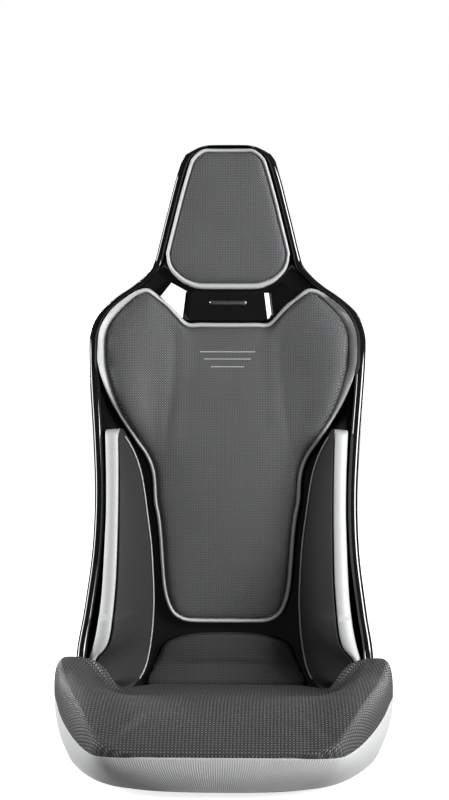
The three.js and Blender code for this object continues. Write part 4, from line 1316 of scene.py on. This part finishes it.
def build_skirt():
    """Ribbed skirt, hung from the cushion's seam round the front and both sides."""
    rows = (  # seam x share, seam y, foot x share, foot y
        (0.935, 52, 0.915, 52), (0.985, 30, 0.935, 30), (1, -10, 0.935, -10),
        (0.998, -50, 0.93, -50), (0.972, -100, 0.91, -100), (0.933, -150, 0.87, -155),
        (0.866, -214, 0.797, -215), (0.785, -275, 0.7, -270), (0.71, -316, 0.6, -302),
        (0.64, CUSHION_FRONT_Y + 9, 0.5, -318), (0.49, CUSHION_FRONT_Y + 2, 0.36, -332),
        (0.26, CUSHION_FRONT_Y, 0.19, -338.5), (0, CUSHION_FRONT_Y, 0, -340),
    )
    whole = [*rows, *((-a, b, -c, d) for a, b, c, d in rows[-2::-1])]
    keyed, run = [], 0.0
    for n, row in enumerate(whole):
        if n:
            last = whole[n - 1]
            run += math.hypot((row[0] - last[0]) * CUSHION_HALF, row[1] - last[1])
        keyed.append((run, *row))
    count = int(run / SKIRT_RIB) * 4
    # Levels from the seam down: how far back, how far up, and the share of the height.
    lip = [(-8.5, 8.0, 0), (-5.4, 4.2, 0), (-3.0, 1.8, 0), (-1.2, 0.5, 0)]
    face = [(0, 0, n / 22) for n in range(23)]
    hem = [(-2.5, -1.2, 1)]
    outer, inner = [], []
    for back, up, t in lip + face + hem:
        line, behind = [], []
        for n in range(count + 1):
            key = run * n / count
            sx, sy, fx, fy = (along(keyed, key, c) for c in range(1, 5))
            ahead = [along(keyed, min(run, key + 4), c) for c in (1, 2)]
            before = [along(keyed, max(0, key - 4), c) for c in (1, 2)]
            dx = (ahead[0] - before[0]) * CUSHION_HALF
            dy = ahead[1] - before[1]
            size = math.hypot(dx, dy)
            nx, ny = dy / size, -dx / size
            if nx * sx + ny * (sy + 150) / 300 < 0:
                nx, ny = -nx, -ny
            belly = 0 if up else 3.5 * math.sin(math.pi * min(1, t * 1.05))
            wave = RIB_HEIGHT * math.sin(math.pi / 2 * n) * (0.5 if up else 1)
            off = back + belly + wave
            x = CUSHION_HALF * lerp(sx, fx, t ** 1.5) + nx * off
            y = lerp(sy, fy, t ** 1.5) + ny * off
            fade = 1 - 0.95 * ease(sy, -75, -45) if up > 0 else 1
            z = lerp(seam_z(sy) + 0.3, SKIRT_FOOT_Z, t) + up * fade
            line.append((x, y, z))
            behind.append((x - nx * SKIRT_THICK, y - ny * SKIRT_THICK, z - (0.8 if up else 0)))
        outer.append(line)
        inner.append(behind)
    make_object("skirt", *slab(outer, inner), SKIRT_CLOTH, "skirt_fabric", ("cushion_skirt",))


def tail_outline(grow=0.0):
    top, foot = TAIL_TOP_Z + grow, TAIL_FOOT_Z
    return [
        (0, top), (37, top - 0.8), (59, top - 3.2), (TAIL_HALF - 15 + grow, top - 9),
        (TAIL_HALF + grow, top - 16.5), (TAIL_HALF + 8 + grow, top - 25),
        (TAIL_HALF + 15 + grow, lerp(foot, top, 0.45)), (TAIL_HALF + 25 + grow, foot + 14),
        (TAIL_HALF + 33 + grow, foot + 1), (TAIL_HALF + 27, foot - 12), (60, foot - 14),
        (0, foot - 14),
    ]


def tail_face(z):
    """The tail leans back, and its foot runs forward to meet the cushion."""
    return TAIL_FACE_Y + TAIL_LEAN * (z - TAIL_FOOT_Z) - TAIL_FOOT_RUN * ease(-z, -110, -78)


def build_tail():
    outline = closed_outline(tail_outline(), 160)
    hub = (0, TAIL_HUB_Z)
    shares = [math.sin(n / 24 * math.pi / 2) for n in range(25)]

    def rest(x, z):
        return min(tail_face(z) + TAIL_THICK, back_depth(x, z) - 4)

    def front(x, z, s):
        crown = max(0.0, 1 - s ** 7) ** 0.5
        face = lerp(tail_face(z) + TAIL_THICK * 0.6, tail_face(z) + 2, crown)
        return min(face, rest(x, z) - 5)

    form = hub_form(outline, hub, shares, front, rest)
    tail = make_object(
        "cushion_back_roll", *form, TAIL_CLOTH, "cushion_fabric", ("cushion_tail",),
    )
    away = closeness(outline)

    def hold(x, y, z):
        at_back = 1 - clamp((rest(x, z) - y - 2) / 5)
        return max(at_back, 1 - clamp((away(x, z) - 3) / 12))

    inflate(tail, hold, 4, 4.0)
    across = [lerp(-TAIL_HALF - 24, TAIL_HALF + 24, k / 20) for k in range(21)]
    up = [lerp(TAIL_FOOT_Z - 14, TAIL_TOP_Z, k / 8) for k in range(9)]
    lay_cloth(tail, [[(x, tail_face(z), z) for x in across] for z in up])
    right = tail_outline(0.7)[:8]
    knots = [(-x, z) for x, z in right[:0:-1]] + right
    keyed = [(n, x, z) for n, (x, z) in enumerate(knots)]
    path = []
    for n in range(120):
        x, z = (along(keyed, (len(knots) - 1) * n / 119, c) for c in (1, 2))
        path.append((x, tail_face(z) + TAIL_THICK * 0.62, z))
    make_object("tail_welt", *tube(path, 0.8, 8), SIDE_CLOTH, "cushion_fabric", ("tail_piping",))


def build_foam():
    """The foam block under the cushion, from its CAD solid, with its edges softened."""
    source = frame["nodes"]["cushion_foam"]
    foam = bpy.data.objects.new("seat_foam", source.data.copy())
    bpy.context.scene.collection.objects.link(foam)
    foam.data.materials.clear()
    foam.data.materials.append(FOAM)
    remesh(foam, 5)
    relax(foam, 4)
    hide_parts("cushion_foam")


# ---- everything
build_shell()
build_bridge()
build_badge()
build_head()
BACK = build_back()
build_stitch_lines(front_of(BACK))
for SIDE, SIGN in (("left", -1), ("right", 1)):
    build_gusset(SIDE, SIGN)
    build_side_pad(SIDE, SIGN)
build_cushion()
build_skirt()
build_tail()
build_foam()

CARRIED = (("board", BOARD), ("strip", TAPE), ("boss", BOARD), ("insert", ZINC))
for node_name, node in frame["nodes"].items():
    for word, material in CARRIED:
        if word in node_name:
            node.data.materials.clear()
            node.data.materials.append(material)

for piece in list(bpy.context.scene.objects):
    if piece.type == "MESH" and "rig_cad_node" not in piece:
        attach(piece, "root")

# ---- floor, light, camera
floor_mesh = bpy.data.meshes.new("floor")
FLOOR = 40.0
floor_mesh.from_pydata(
    [(-FLOOR, -FLOOR, 0), (FLOOR, -FLOOR, 0), (FLOOR, FLOOR, 0), (-FLOOR, FLOOR, 0)],
    [], [(0, 1, 2, 3)],
)
floor = bpy.data.objects.new("floor", floor_mesh)
bpy.context.scene.collection.objects.link(floor)
pale = Nodes("pale_floor")
pale.set(
    Base_Color=pale.mix(pale.noise(3, 2), grey(0.93), grey(0.95)),
    Roughness=0.9,
    Emission_Color=(1, 1, 1, 1),
    Emission_Strength=0.78,
    Specular_IOR_Level=0.0,
)
floor.visible_glossy = False
floor.visible_diffuse = False
floor_mesh.materials.append(pale.material)


def softbox(name, place, aim, width, height, power, glossy=True, diffuse=True):
    data = bpy.data.lights.new(name, "AREA")
    data.shape = "RECTANGLE"
    data.size, data.size_y, data.energy = width, height, power
    lamp = bpy.data.objects.new(name, data)
    lamp.location = place
    lamp.rotation_euler = (Vector(aim) - Vector(place)).to_track_quat("-Z", "Y").to_euler()
    lamp.visible_glossy = glossy
    lamp.visible_diffuse = diffuse
    bpy.context.scene.collection.objects.link(lamp)


MIDDLE = (0, 0.1, 0.55)
softbox("key_right", (2.0, -1.15, 1.1), MIDDLE, 1.0, 1.4, 98)
softbox("strip_left", (-2.1, -0.3, 1.0), MIDDLE, 0.6, 1.3, 45, diffuse=False)
softbox("fill_left", (-2.2, 0.3, 0.5), MIDDLE, 1.0, 0.9, 75, glossy=False)
softbox("rear_left", (-1.6, 2.3, 1.2), MIDDLE, 0.5, 1.6, 45)
softbox("rear_right", (1.9, 2.1, 1.0), MIDDLE, 0.9, 1.4, 40)
softbox("overhead", (0, -0.6, 2.6), MIDDLE, 1.8, 1.2, 5, glossy=False)

world = bpy.data.worlds.new("studio")
bpy.context.scene.world = world
world.use_nodes = True
tree = world.node_tree
sky = tree.nodes["Background"]
mirror, seen = (tree.nodes.new("ShaderNodeBackground") for _ in range(2))
path_info = tree.nodes.new("ShaderNodeLightPath")
first, second = (tree.nodes.new("ShaderNodeMixShader") for _ in range(2))
for shade, strength in ((sky, 0.27), (mirror, 0.05), (seen, 1.0)):
    shade.inputs[0].default_value = (1, 1, 1, 1)
    shade.inputs[1].default_value = strength
tree.links.new(path_info.outputs["Is Glossy Ray"], first.inputs[0])
tree.links.new(sky.outputs[0], first.inputs[1])
tree.links.new(mirror.outputs[0], first.inputs[2])
tree.links.new(path_info.outputs["Is Camera Ray"], second.inputs[0])
tree.links.new(first.outputs[0], second.inputs[1])
tree.links.new(seen.outputs[0], second.inputs[2])
tree.links.new(second.outputs[0], tree.nodes["World Output"].inputs[0])
bpy.context.scene.view_settings.view_transform = "Standard"

# The camera stands 3.5 m in front of the seat, a little above it and towards +X.
camera_data = bpy.data.cameras.new("camera")
camera_data.lens = 97.425
camera_data.sensor_width = 36
camera = bpy.data.objects.new("camera", camera_data)
ELEVATION, YAW, DISTANCE = math.radians(5), math.radians(1.6), 3.5
AIM = Vector((-0.0015, (60 + SHIFT_Y) * MM, 0.55))
look = Vector((
    -math.sin(YAW) * math.cos(ELEVATION), math.cos(YAW) * math.cos(ELEVATION),
    -math.sin(ELEVATION),
))
camera.location = AIM - look * DISTANCE
camera.rotation_mode = "QUATERNION"
camera.rotation_quaternion = look.to_track_quat("-Z", "Y")
camera_data.clip_end = 120
bpy.context.scene.collection.objects.link(camera)
bpy.context.scene.camera = camera
